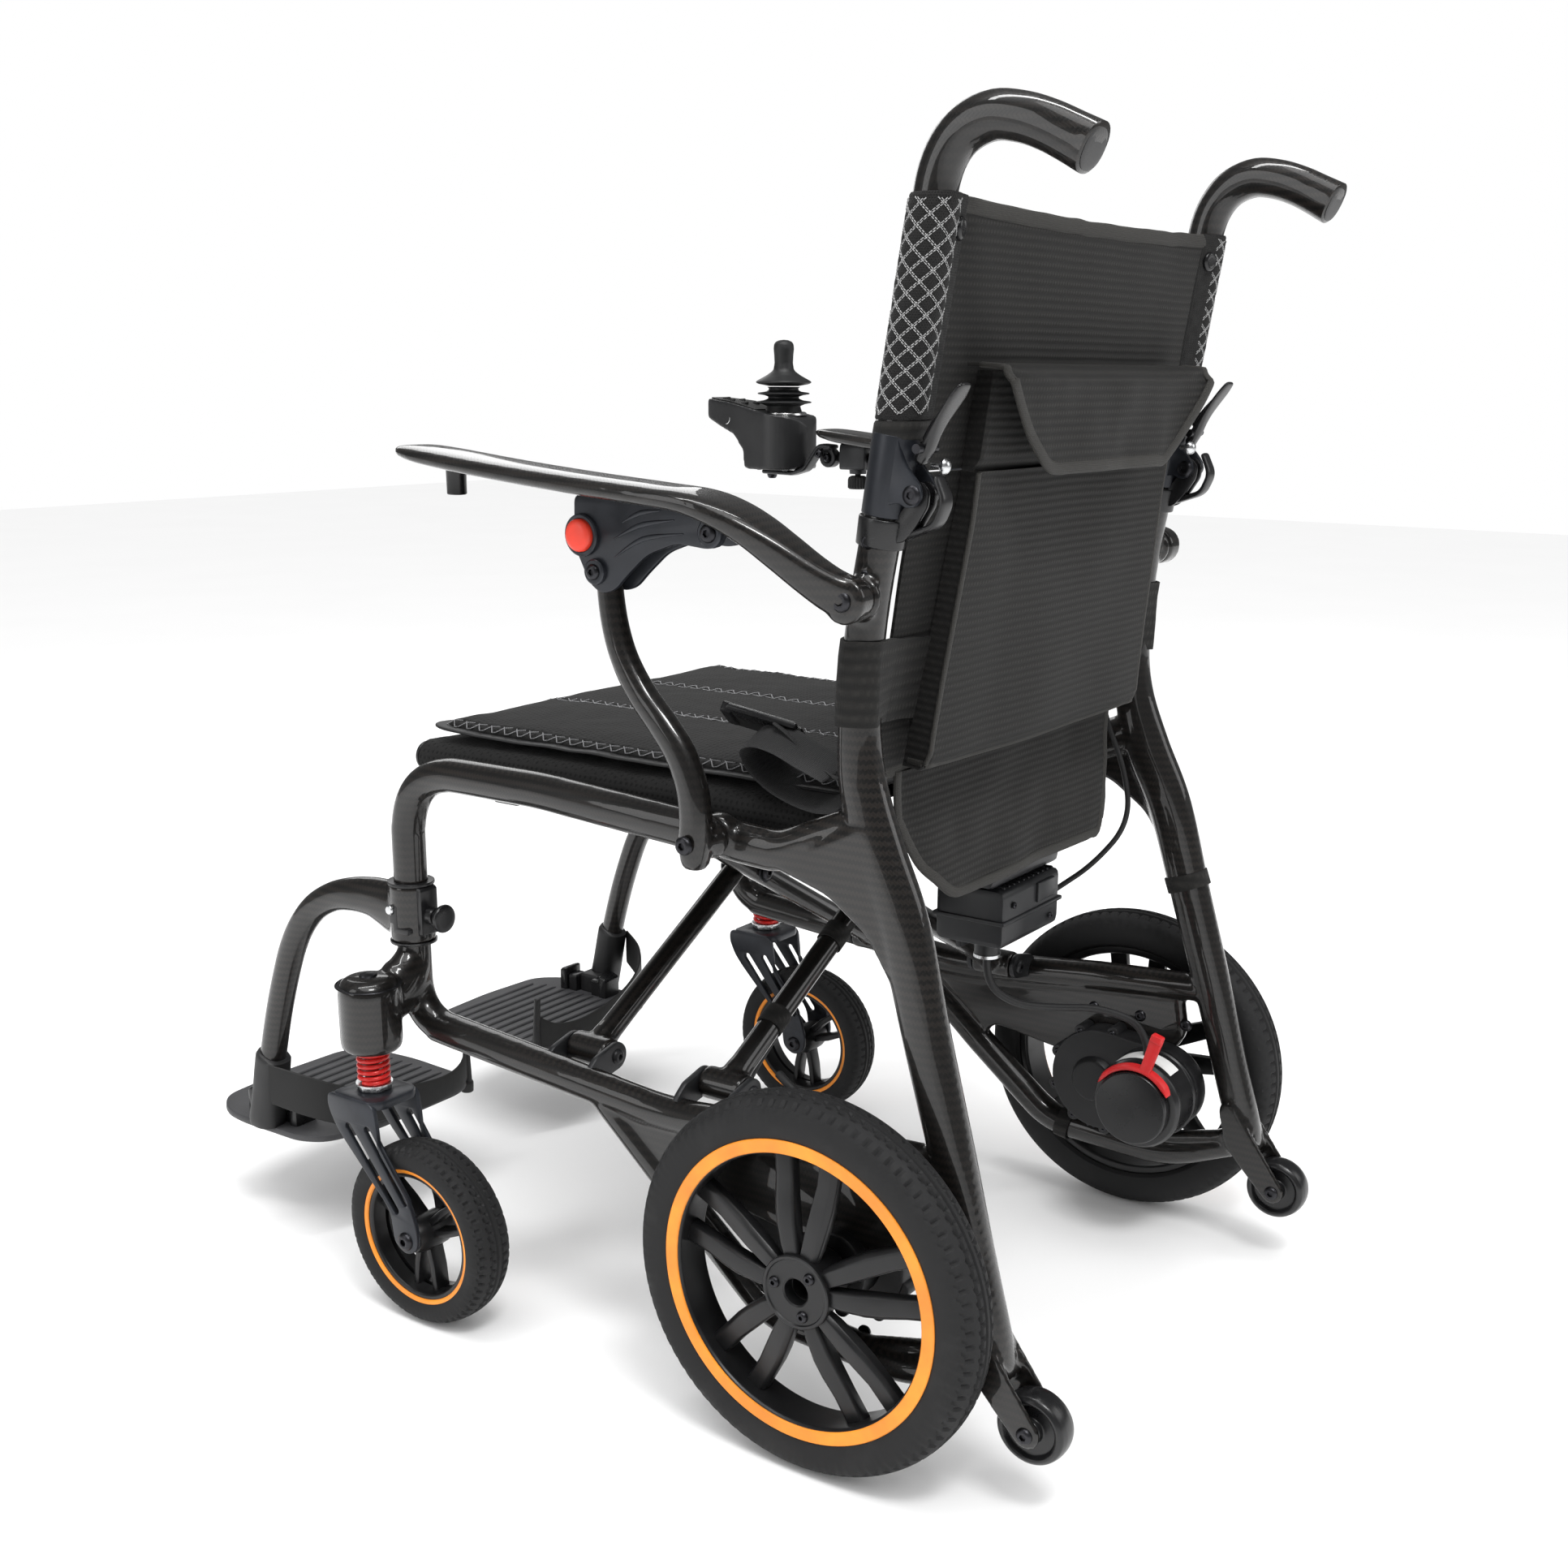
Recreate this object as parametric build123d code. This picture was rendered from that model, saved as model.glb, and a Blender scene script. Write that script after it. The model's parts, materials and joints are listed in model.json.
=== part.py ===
from build123d import *
import os
from math import cos, pi, radians, sin

# Power wheelchair with folding carbon side frames, in millimetres.
# +X is the chair's left, -Y its front, +Z up. The origin is on the ground, under the middle of the chair.
# Every node of the left side is built first; the right side is its mirror image.

# Driving dimensions
TUBE_R = 14.0            # side frame tube
POST_X = 227.0           # back post
RAIL_X = 238.0           # seat rail and lower rail
LEG_X = 244.0            # rear leg at the ground
SEAT_Z = 479.0           # seat tube centre
SEAT_TUBE_X = 203.0
SEAT_TUBE_R = 12.0
PIVOT_X, PIVOT_Z = 205.0, 248.0      # lower brace pivots
BRACE_Y = (13.0, 153.0)              # front and rear brace pairs
STAGGER = 10.6                       # each half lies this far to its side of the pair's middle
BRACE_R = 10.0
DRIVE_Y, DRIVE_R = 278.0, 150.0      # drive wheel axle height is its radius
DRIVE_X, TYRE_W = 285.0, 45.0
RIM_R = 117.0
CASTER_X, STEER_Y = 292.0, -174.0
TRAIL, CASTER_R, CASTER_W = 58.0, 82.0, 42.0
CASTER_RIM_R = 60.0
FRONT_Y = -172.0                     # front tube, which is upright
HINGE_Y, HINGE_Z = 323.0, 722.0      # back fold hinge
BACK_LEAN = 43.0 / 281.0             # rearward run of the back tubes for each mm of height
BACK_Y0, BACK_Z0 = 295.6, 716.0      # a point on the back tubes' axis
LEVER_Y, LEVER_Z = 325.0, 752.0      # release lever pivot
SPLIT_Z = 707.0                      # where the post ends and the folding tube starts
ARM_Y, ARM_Z = 286.0, 652.0          # armrest hinge
ARM_X, ARM_W = 285.0, 56.0
STRUT_X, STRUT_Y, STRUT_Z = 270.0, 165.0, 468.0
MOTOR_Z = 152.0
MOTOR_Y = {"left": 222.0, "right": 334.0}   # one drive unit fits both sides, so it lies ahead or behind
TAIL_Y, TAIL_Z, TAIL_R = 448.0, 71.0, 28.0
HANGER_X, HANGER_Y = 248.0, -381.0
FLIP_X, FLIP_Z = 226.0, 112.0        # footplate hinge
BOSS_X, BOSS_Y = 266.0, -69.0        # accessory boss, inboard of the caster's path
STICK_Y, STICK_Z = -148.0, 760.0     # joystick pivot
RUN = 0.05                           # radial clearance of a running fit
PIN_R = 5.0


def back_y(z):
    """Distance along Y of the back tube's axis at height z."""
    return BACK_Y0 + (z - BACK_Z0) * BACK_LEAN


def rod(start, end, radius):
    axis = Vector(*end) - Vector(*start)
    return Solid.make_cylinder(radius, axis.length, Plane(origin=start, z_dir=axis))


def ring(start, end, outer, inner):
    axis = (Vector(*end) - Vector(*start)).normalized()
    low = Vector(*start) - axis
    high = Vector(*end) + axis
    return rod(start, end, outer) - rod(tuple(low), tuple(high), inner)


def tube(points, radii, radius):
    path = FilletPolyline(*points, radius=radii)
    return sweep(Plane(origin=path @ 0, z_dir=path % 0) * Circle(radius), path=path)


def block(x, y, z):
    """A box from its limits along each axis."""
    size = [high - low for low, high in (x, y, z)]
    middle = [(high + low) / 2 for low, high in (x, y, z)]
    return Pos(*middle) * Box(*size)


def plate(outline, x, corner=0.0):
    """A plate across X, from an outline of (y, z) points."""
    face = make_face(Polyline(*outline, close=True))
    if corner:
        face = fillet(face.vertices(), corner)
    return Pos(x[0], 0, 0) * extrude(Plane.YZ * face, x[1] - x[0])


def link(circles, x):
    """A plate across X, drawn tightly round circles of (y, z, radius)."""
    edges = [edge for y, z, r in circles for edge in (Pos(y, z) * Circle(r)).edges()]
    return Pos(x[0], 0, 0) * extrude(Plane.YZ * make_hull(edges), x[1] - x[0])


def lathe_x(profile, centre, corner=0.0):
    """A solid turned about X through the centre, from (x, radius) points."""
    face = make_face(Polyline(*profile, close=True))
    if corner:
        face = fillet(face.vertices(), corner)
    return Pos(*centre) * revolve(face, Axis.X)


def lathe_z(profile, centre):
    """A solid turned about Z through the centre, from (radius, z) points."""
    face = Plane.XZ * make_face(Polyline(*profile, close=True))
    return Pos(*centre) * revolve(face, Axis.Z)


def side_frame(stagger):
    """One moulded side: post, leg, rails, web, caster housing, ledges, lugs and pins."""
    post = tube(
        [
            (POST_X - 1, back_y(SPLIT_Z), SPLIT_Z),
            (POST_X + 1, 279, 610),
            (POST_X + 1, 276, 505),
            (POST_X + 6, 326, 420),
            (LEG_X, 416, 112),
        ],
        [300, 110, 250],
        TUBE_R,
    )
    loop = tube(
        [
            (POST_X + 2, 291, 488),
            (RAIL_X - 4, 215, 459),
            (RAIL_X, -20, 476),
            (RAIL_X + 1, FRONT_Y, 476),
            (RAIL_X + 1, FRONT_Y, 252),
            (RAIL_X, 110, 228),
            (RAIL_X + 2, 258, 244),
            (LEG_X - 3, 376, 252),
        ],
        [50, 400, 60, 36, 300, 250],
        TUBE_R,
    )
    arm = tube(
        [
            (RAIL_X, 40, 234),
            (RAIL_X, 132, 150),
            (RAIL_X + 2, 212, 84),
            (LEG_X - 3, 340, 78),
            (LEG_X, 402, 106),
        ],
        [90, 50, 120],
        TUBE_R,
    )
    body = post + loop + arm
    web_x = (RAIL_X - 4, RAIL_X + 6)
    body += plate([(205, 235), (345, 245), (352, 205), (330, 168), (226, 160), (206, 190)], web_x)
    body += plate([(215, 458), (288, 490), (310, 455), (340, 350), (300, 415), (262, 440)], web_x)
    body += plate([(40, 232), (150, 226), (152, 170), (128, 150)], web_x)
    body -= rod((web_x[0] - 3, DRIVE_Y, DRIVE_R), (web_x[1] + 30, DRIVE_Y, DRIVE_R), 32)

    # caster housing with its stem bore
    steer = (CASTER_X, STEER_Y)
    body += rod((RAIL_X + 1, FRONT_Y, 276), (CASTER_X, STEER_Y, 276), 20)
    body += lathe_z([(0, 236), (22, 236), (26, 242), (26, 296), (20, 303), (0, 304)], (*steer, 0))
    body -= rod((*steer, 230), (*steer, 299), 8 + RUN)
    body -= rod((*steer, 230), (*steer, 238.5), 16)

    # armrest boss with its pin, and strut boss with its pin
    body += rod((POST_X + 1, ARM_Y, ARM_Z), (245.6, ARM_Y, ARM_Z), 13)
    body += rod((245, ARM_Y, ARM_Z), (266, ARM_Y, ARM_Z), 6)
    body += rod((RAIL_X - 2, STRUT_Y, STRUT_Z), (251.6, STRUT_Y, STRUT_Z), 13)
    body += rod((251, STRUT_Y, STRUT_Z), (286, STRUT_Y, STRUT_Z), 6)

    # ledges that the seat tube rests on
    for y in (-60, 105):
        body += block((188, RAIL_X - 4), (y - 14, y + 14), (456, SEAT_Z - SEAT_TUBE_R - 0.4))

    # lugs and pins of the lower brace pivots
    for y in BRACE_Y:
        middle = y + stagger
        for side in (-1, 1):
            near, far = sorted((middle + side * 20.6, middle + side * 26))
            lug = rod((PIVOT_X, near, PIVOT_Z), (PIVOT_X, far, PIVOT_Z), 12)
            lug += block((PIVOT_X, RAIL_X - 3), (near, far), (PIVOT_Z - 12, PIVOT_Z + 4))
            body += lug
        body += rod((PIVOT_X, middle - 25, PIVOT_Z), (PIVOT_X, middle + 25, PIVOT_Z), PIN_R)

    # fork and pin of the anti-tip wheel
    for x in ((LEG_X - 17, LEG_X - 13), (LEG_X + 13, LEG_X + 17)):
        body += link([(411, 116, 11), (TAIL_Y, TAIL_Z, 11)], x)
    body += block((LEG_X - 17, LEG_X + 17), (404, 420), (108, 124))
    body += rod((LEG_X - 16, TAIL_Y, TAIL_Z), (LEG_X + 16, TAIL_Y, TAIL_Z), PIN_R)
    return body


def back_hinge():
    """Socket on the post's top with two ears for the hinge bolt."""
    low, high = SPLIT_Z - 19, SPLIT_Z - 0.3
    socket = ring((POST_X - 1, back_y(low), low), (POST_X - 1, back_y(high), high), 17.5, TUBE_R + RUN)
    for x in ((POST_X - 12, POST_X - 7.5), (POST_X + 7.5, POST_X + 12)):
        ear = link([(313, 693, 6), (HINGE_Y, HINGE_Z, 8.5)], x)
        socket += ear
    bore_low, bore_high = low - 9, high + 1
    socket -= rod((POST_X - 1, back_y(bore_low), bore_low), (POST_X - 1, back_y(bore_high), bore_high), TUBE_R + RUN)
    return socket + rod((POST_X - 11, HINGE_Y, HINGE_Z), (POST_X + 11, HINGE_Y, HINGE_Z), 4)


def back_tube():
    """Folding back tube with its sleeve, hinge tongue, lever cheeks and push handle."""
    low = SPLIT_Z + 0.5
    body = tube(
        [
            (POST_X - 1, back_y(low), low),
            (POST_X - 5, back_y(950), 950),
            (POST_X - 6, 385, 958),
            (POST_X - 7, 430, 934),
        ],
        [34, 40],
        TUBE_R,
    )
    sleeve = rod((POST_X - 1, back_y(low), low), (POST_X - 2, back_y(762), 762), 16)
    tongue = link([(302, 728, 8), (HINGE_Y, HINGE_Z, 8.5)], (POST_X - 7, POST_X + 7))
    body += sleeve + tongue
    for x in ((POST_X - 11, POST_X - 7), (POST_X + 6, POST_X + 10)):
        body += link([(302, 754, 9), (LEVER_Y, LEVER_Z, 6)], x)
    body += rod((POST_X - 10, LEVER_Y, LEVER_Z), (POST_X + 9, LEVER_Y, LEVER_Z), 3)
    body -= rod((POST_X - 20, HINGE_Y, HINGE_Z), (POST_X + 20, HINGE_Y, HINGE_Z), 4 + RUN)
    return body


def back_lever():
    """Release lever that stands behind the back tube."""
    lever = link([(LEVER_Y, LEVER_Z, 5.5), (330, 763, 5)], (POST_X - 6.5, POST_X + 5.5))
    lever += link([(330, 763, 5), (340, 778, 4)], (POST_X - 5, POST_X + 4))
    lever += link([(340, 778, 4), (350, 792, 3)], (POST_X - 7, POST_X + 6))
    return lever - rod((POST_X - 20, LEVER_Y, LEVER_Z), (POST_X + 20, LEVER_Y, LEVER_Z), 3 + RUN)


def armrest():
    """Padded carbon arm that narrows down to its hub on the post."""
    stations = [
        (ARM_X, -98, 740, 36, 5),
        (ARM_X, -70, 736, ARM_W, 12),
        (ARM_X, 60, 723, ARM_W, 13),
        (ARM_X, 180, 714, ARM_W, 14),
        (ARM_X - 3, 215, 703, 46, 20),
        (ARM_X - 14, 250, 680, 34, 24),
        (ARM_X - 29, ARM_Y - 6, ARM_Z + 3, 20, 24),
    ]
    sections = []
    for x, y, z, wide, high in stations:
        plane = Plane(origin=(x, y, z), x_dir=(1, 0, 0), z_dir=(0, 1, 0))
        sections.append(plane * RectangleRounded(wide, high, high * 0.4))
    arm = loft(sections, ruled=True)
    arm += rod((246.2, ARM_Y, ARM_Z), (266, ARM_Y, ARM_Z), 14)
    return arm - rod((240, ARM_Y, ARM_Z), (270, ARM_Y, ARM_Z), 6 + RUN)


def accessory_boss():
    """Boss under the left armrest's tip with a blind threaded hole."""
    boss = rod((BOSS_X, BOSS_Y, 708), (BOSS_X, BOSS_Y, 733), 7.5)
    return boss, rod((BOSS_X, BOSS_Y, 700), (BOSS_X, BOSS_Y, 722), 3)


def arm_clamp():
    """Block under the right armrest that holds the joystick arm."""
    clamp = block((-ARM_X - 13, -ARM_X + 13), (-72, -40), (698, 731))
    slot = rod((-ARM_X, -80, 708), (-ARM_X, -30, 708), 6 + RUN)
    screw = rod((-ARM_X, -56, 690), (-ARM_X, -56, 704), 3 + RUN)
    return clamp, slot + screw


def armrest_bracket():
    """Two cheeks and a bridge under the armrest."""
    outline = [(70, 715), (178, 706.5), (195, 698), (206, 690), (198, 678), (146, 680), (116, 668), (99, 646)]
    outline += [(80, 645), (66, 680)]
    body = plate(outline, (280, 284), 4) + plate(outline, (256, 260), 4)
    body += block((258, 282), (76, 150), (700, 708.5))
    return body - rod((279, 74, 686), (290, 74, 686), 12.4)


def armrest_button():
    profile = [(0, 0), (0, 12), (8, 12), (10, 10), (10, 0)]
    return lathe_x(profile, (281, 74, 686))


def armrest_post():
    """Curved strut from its barrel beside the seat rail up between the bracket's cheeks."""
    body = tube(
        [(STRUT_X, 87, 668), (STRUT_X, 92, 604), (STRUT_X, 150, 532), (STRUT_X, STRUT_Y, STRUT_Z)],
        [80, 60],
        9.4,
    )
    body += rod((252.2, STRUT_Y, STRUT_Z), (284, STRUT_Y, STRUT_Z), 15)
    return body - rod((240, STRUT_Y, STRUT_Z), (290, STRUT_Y, STRUT_Z), 6 + RUN)


def caster_stem():
    """Sliding king pin with its spring seat above the fork and its nut below."""
    profile = [(0, 181), (12, 181), (12, 187.6), (8, 187.6), (8, 201.2), (15, 201.2), (15, 205.5), (8, 205.5)]
    profile += [(8, 284), (0, 284)]
    return lathe_z(profile, (CASTER_X, STEER_Y, 0))


def caster_spring():
    coil = Helix(pitch=5.6, height=28.0, radius=12.2)
    wire = sweep(Plane(origin=coil @ 0, z_dir=coil % 0) * Circle(1.9), path=coil, is_frenet=True)
    return Pos(CASTER_X, STEER_Y, 207.9) * wire


def caster_fork():
    """Top plate and two slotted cheeks with the axle."""
    axle_y = STEER_Y + TRAIL
    body = block((CASTER_X - 27, CASTER_X + 27), (STEER_Y - 28, STEER_Y + 28), (188, 200.7))
    for x in ((CASTER_X - 27, CASTER_X - 23), (CASTER_X + 23, CASTER_X + 27)):
        cheek = link([(STEER_Y - 16, 188, 12), (STEER_Y + 14, 188, 12), (STEER_Y + 12, 160, 14)], x)
        cheek += link([(STEER_Y + 6, 166, 18), (axle_y, CASTER_R, 13)], x)
        cheek -= link([(STEER_Y - 2, 172, 4), (axle_y - 17, 112, 4)], (x[0] - 1, x[1] + 1))
        cheek -= link([(STEER_Y + 14, 168, 3.5), (axle_y - 4, 116, 3.5)], (x[0] - 1, x[1] + 1))
        body += cheek
    body += rod((CASTER_X - 25, axle_y, CASTER_R), (CASTER_X + 25, axle_y, CASTER_R), PIN_R)
    return body - rod((CASTER_X, STEER_Y, 180), (CASTER_X, STEER_Y, 205), 8 + RUN)


def tyre(centre, radius, bore, width):
    """Tyre with a rounded crown, flat where it meets the rim."""
    half = width / 2
    wall = radius - bore
    profile = [
        (-half + 7, bore),
        (half - 7, bore),
        (half - 1.5, bore + wall * 0.3),
        (half, bore + wall * 0.6),
        (half * 0.72, bore + wall * 0.9),
        (half * 0.3, radius),
        (-half * 0.3, radius),
        (-half * 0.72, bore + wall * 0.9),
        (-half, bore + wall * 0.6),
        (-half + 1.5, bore + wall * 0.3),
    ]
    return lathe_x(profile, centre, 2.0)


def drive_rim():
    """Rim barrel, five double spokes and a hub with its shaft bore."""
    centre = (DRIVE_X, DRIVE_Y, DRIVE_R)
    barrel = [(-15, RIM_R), (-15, 110), (12, 108), (19, 106), (19, RIM_R)]
    body = lathe_x(barrel, centre)
    body += lathe_x([(-22, 9), (-22, 22), (2, 28), (17, 29), (17, 9)], centre)
    for turn in range(5):
        for side in (-1, 1):
            spoke = plate([(22, side * 4), (22, side * 12), (110, side * 23), (110, side * 14)], (4, 16))
            body += Pos(*centre) * Rot(X=72 * turn + 18) * spoke
    return body - rod((DRIVE_X - 30, DRIVE_Y, DRIVE_R), (DRIVE_X + 30, DRIVE_Y, DRIVE_R), 9 + RUN)


def caster_rim():
    """Small rim with three split spokes."""
    centre = (CASTER_X, STEER_Y + TRAIL, CASTER_R)
    body = lathe_x([(-15, CASTER_RIM_R), (-15, 54), (15, 54), (15, CASTER_RIM_R)], centre)
    body += lathe_x([(-21.5, PIN_R), (-21.5, 14), (21.5, 14), (21.5, PIN_R)], centre)
    for turn in range(3):
        spoke = plate([(10, -9), (10, 9), (56, 17), (56, -17)], (-6, 6))
        spoke -= plate([(26, -4), (26, 4), (50, 8), (50, -8)], (-7, 7))
        body += Pos(*centre) * Rot(X=120 * turn + 30) * spoke
    return body - rod((CASTER_X - 30, *centre[1:]), (CASTER_X + 30, *centre[1:]), PIN_R + RUN)


def foot_hanger():
    """Collar on the front tube, bowed tube, clamp and hinge pin."""
    collar = ring((RAIL_X + 1, FRONT_Y, 342), (RAIL_X + 1, FRONT_Y, 392), 19.5, TUBE_R + 0.35)
    bow = tube(
        [
            (RAIL_X + 2, FRONT_Y - 18, 358),
            (HANGER_X - 3, -256, 372),
            (HANGER_X, -328, 318),
            (HANGER_X, -372, 150),
            (HANGER_X, -374, 118),
        ],
        [90, 130, 30],
        12,
    )
    body = collar + bow
    body += rod((HANGER_X, HANGER_Y, 107), (HANGER_X, HANGER_Y, 178), 16)
    lobe = rod((FLIP_X, -391.3, FLIP_Z), (FLIP_X, -370.7, FLIP_Z), 10)
    lobe += block((FLIP_X, HANGER_X), (-391.3, -370.7), (107, 122))
    body += lobe
    body += rod((FLIP_X, -404, FLIP_Z), (FLIP_X, -358, FLIP_Z), PIN_R)
    body += rod((RAIL_X + 1, FRONT_Y + 17, 352), (RAIL_X + 1, FRONT_Y + 26, 352), 8)
    body -= rod((RAIL_X + 1, FRONT_Y + 16, 352), (RAIL_X + 1, FRONT_Y + 30, 352), 4 + RUN)
    return body - rod((RAIL_X + 1, FRONT_Y, 330), (RAIL_X + 1, FRONT_Y, 400), TUBE_R + 0.35)


def hanger_knob():
    """Pull knob of the hanger's lock pin."""
    knob = rod((RAIL_X + 1, FRONT_Y + 18, 352), (RAIL_X + 1, FRONT_Y + 30, 352), 4)
    return knob + rod((RAIL_X + 1, FRONT_Y + 29, 352), (RAIL_X + 1, FRONT_Y + 40, 352), 12)


def footplate():
    """Ribbed plate with its hinge lobes; the corner by the caster is cut round."""
    outline = [(45, -322), (62, -290), (196, -290), (252, -312)]
    outline += [(252, -440), (228, -470), (70, -470), (45, -440)]
    face = fillet(make_face(Polyline(*outline, close=True)).vertices(), 12)
    body = Pos(0, 0, 95) * extrude(face, 7)
    for index in range(9):
        y = -448 + index * 18
        body += block((62, 212), (y - 3, y + 3), (101, 105))
    for low in (-404.5, -370.1):
        lobe = rod((FLIP_X, low, FLIP_Z), (FLIP_X, low + 12.6, FLIP_Z), 10)
        lobe += block((FLIP_X - 10, FLIP_X + 10), (low, low + 12.6), (99, FLIP_Z))
        body += lobe
    body += block((60, 196), (-294, -290), (96, 132))
    body += rod((52, -300, 96), (52, -300, 146), 6)
    return body - rod((FLIP_X, -410, FLIP_Z), (FLIP_X, -350, FLIP_Z), PIN_R + RUN)


def drive_motor(motor_y):
    """Gearcase inside the web, output shaft to the wheel, motor can and brake cap."""
    body = link([(DRIVE_Y, DRIVE_R, 50), (motor_y, MOTOR_Z, 42.5)], (206, RAIL_X - 4))
    body += rod((RAIL_X - 6, DRIVE_Y, DRIVE_R), (257, DRIVE_Y, DRIVE_R), 30)
    body += rod((250, DRIVE_Y, DRIVE_R), (DRIVE_X + 18, DRIVE_Y, DRIVE_R), 9)
    body += rod((166, motor_y, MOTOR_Z), (207, motor_y, MOTOR_Z), 42)
    body += rod((155, motor_y, MOTOR_Z), (167, motor_y, MOTOR_Z), 35)
    return body


def brake_lever(motor_y):
    """Red freewheel lever: an arc round the brake cap with a raised handle."""
    arc = ring((157, motor_y, MOTOR_Z), (165.4, motor_y, MOTOR_Z), 41, 35.4)
    arc &= block((150, 170), (motor_y - 45, motor_y + 45), (MOTOR_Z + 6, MOTOR_Z + 60))
    handle = plate([(-5, 38), (5, 38), (6, 76), (-6, 76)], (158, 163), 1.5)
    return arc + Pos(0, motor_y, MOTOR_Z) * Rot(X=-16) * handle


def antitip_wheel():
    profile = [(-11, PIN_R + RUN), (-11, 22), (-8, 27), (0, TAIL_R), (8, 27), (11, 22), (11, PIN_R + RUN)]
    return lathe_x(profile, (LEG_X, TAIL_Y, TAIL_Z))


def brace(stagger):
    """One half of the scissor: pivot barrels on the left, seat tube on the right."""
    seat = rod((-SEAT_TUBE_X, -180, SEAT_Z), (-SEAT_TUBE_X, 252, SEAT_Z), SEAT_TUBE_R)
    body = seat
    for y in BRACE_Y:
        middle = y + stagger
        body += rod((PIVOT_X, middle, PIVOT_Z), (-SEAT_TUBE_X, middle, SEAT_Z), BRACE_R)
        body += rod((PIVOT_X, middle - 20, PIVOT_Z), (PIVOT_X, middle + 20, PIVOT_Z), 13)
    for y in BRACE_Y:
        middle = y + stagger
        body -= rod((PIVOT_X, middle - 30, PIVOT_Z), (PIVOT_X, middle + 30, PIVOT_Z), PIN_R + RUN)
    return body


CROSS_Z = PIVOT_Z + (SEAT_Z - PIVOT_Z) * PIVOT_X / (PIVOT_X + SEAT_TUBE_X)


def left_brace():
    body = brace(-STAGGER)
    for y in BRACE_Y:
        body -= rod((0, y - 30, CROSS_Z), (0, y + 30, CROSS_Z), 4)
    return body


def right_brace():
    body = mirror(brace(STAGGER), about=Plane.YZ)
    for y in BRACE_Y:
        body -= rod((0, y - 30, CROSS_Z), (0, y + 30, CROSS_Z), 4 + RUN)
    return body


def cross_bolts():
    """Bolts with heads and nuts at the middle of the two scissor pairs."""
    bolts = []
    for y in BRACE_Y:
        bolt = rod((0, y - 23, CROSS_Z), (0, y + 23, CROSS_Z), 4)
        bolt += rod((0, y - 25.5, CROSS_Z), (0, y - 21.2, CROSS_Z), 7.5)
        bolt += rod((0, y + 21.2, CROSS_Z), (0, y + 25.5, CROSS_Z), 7.5)
        bolts.append(bolt)
    return Compound(children=bolts)


def cushion(x, y, z, corner):
    return fillet(block(x, y, z).edges(), corner)


def back_panel(low, high, half_width, gap, thick):
    """Flat panel that leans with the back tubes."""
    outline = [
        (back_y(low) + gap, low),
        (back_y(high) + gap, high),
        (back_y(high) + gap + thick, high),
        (back_y(low) + gap + thick, low),
    ]
    return plate(outline, (-half_width, half_width), 1.0)


def joystick_housing():
    """Controller body with a narrow front, a round collar and a socket for its arm."""
    body = Pos(0, 0, 704) * extrude(
        make_hull(
            (Pos(-ARM_X, STICK_Y) * Circle(26)).edges() + (Pos(-ARM_X, -238) * Circle(18)).edges()
        ),
        44,
    )
    body = chamfer(body.edges().group_by(Axis.Z)[0] + body.edges().group_by(Axis.Z)[-1], 4)
    body += rod((-ARM_X, STICK_Y, 745), (-ARM_X, STICK_Y, 757), 23)
    body += rod((-ARM_X, -126, 708), (-ARM_X, -116, 708), 11)
    return body - rod((-ARM_X, -134, 708), (-ARM_X, -110, 708), 6)


def joystick_arm():
    return rod((-ARM_X, -133, 708), (-ARM_X, -8, 708), 6)


def joystick_boot():
    """Rubber bellows that ends in a ball seat about the pivot."""
    profile = [(0, 7), (11, 7), (20, 13), (20, 15), (12, 18)]
    profile += [(17, 20), (17, 21.5), (10, 24), (10, 40), (0, 40)]
    bellows = lathe_z(profile, (-ARM_X, STICK_Y, STICK_Z))
    ball = Pos(-ARM_X, STICK_Y, STICK_Z) * Sphere(28)
    return bellows & ball


def joystick_stick():
    profile = [(0, 20), (9, 20), (8, 34), (6.5, 40), (8.5, 60), (7, 67), (3, 69), (0, 69)]
    stick = lathe_z(profile, (-ARM_X, STICK_Y, STICK_Z))
    return stick - Pos(-ARM_X, STICK_Y, STICK_Z) * Sphere(28.4)


def thumb_screw():
    profile = [(0, 680), (8, 680), (9.5, 683), (9.5, 689), (7, 691), (3, 691), (3, 701.5), (0, 701.5)]
    return lathe_z(profile, (-ARM_X, -56, 0))


def battery():
    body = fillet(block((-160, -34), (184, 250), (372, 434)).edges(), 5)
    return body + block((-230, -80), (196, 244), (431, 438))


def control_box():
    """Controller case with a mounting ear and a round socket for its plug."""
    body = fillet(block((-152, -42), (186, 256), (314, 371.4)).edges(), 5)
    body += block((-112, -88), (182, 190), (296, 318))
    body -= rod((-100, 176, 305), (-100, 194, 305), 3)
    return body + rod((-70, 226, 300), (-70, 226, 318), 11)


def cable(points, radius):
    """A held cable: straight runs joined by arcs as large as the runs allow."""
    radii = []
    for before, corner, after in zip(points, points[1:], points[2:]):
        into = Vector(*corner) - Vector(*before)
        out = Vector(*after) - Vector(*corner)
        half_turn = radians(into.get_angle(out)) / 2
        radii.append(0.45 * min(into.length, out.length) * cos(half_turn) / sin(half_turn))
    path = FilletPolyline(*points, radius=radii)
    return sweep(Plane(origin=path @ 0, z_dir=path % 0) * Circle(radius), path=path), path.length


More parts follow.
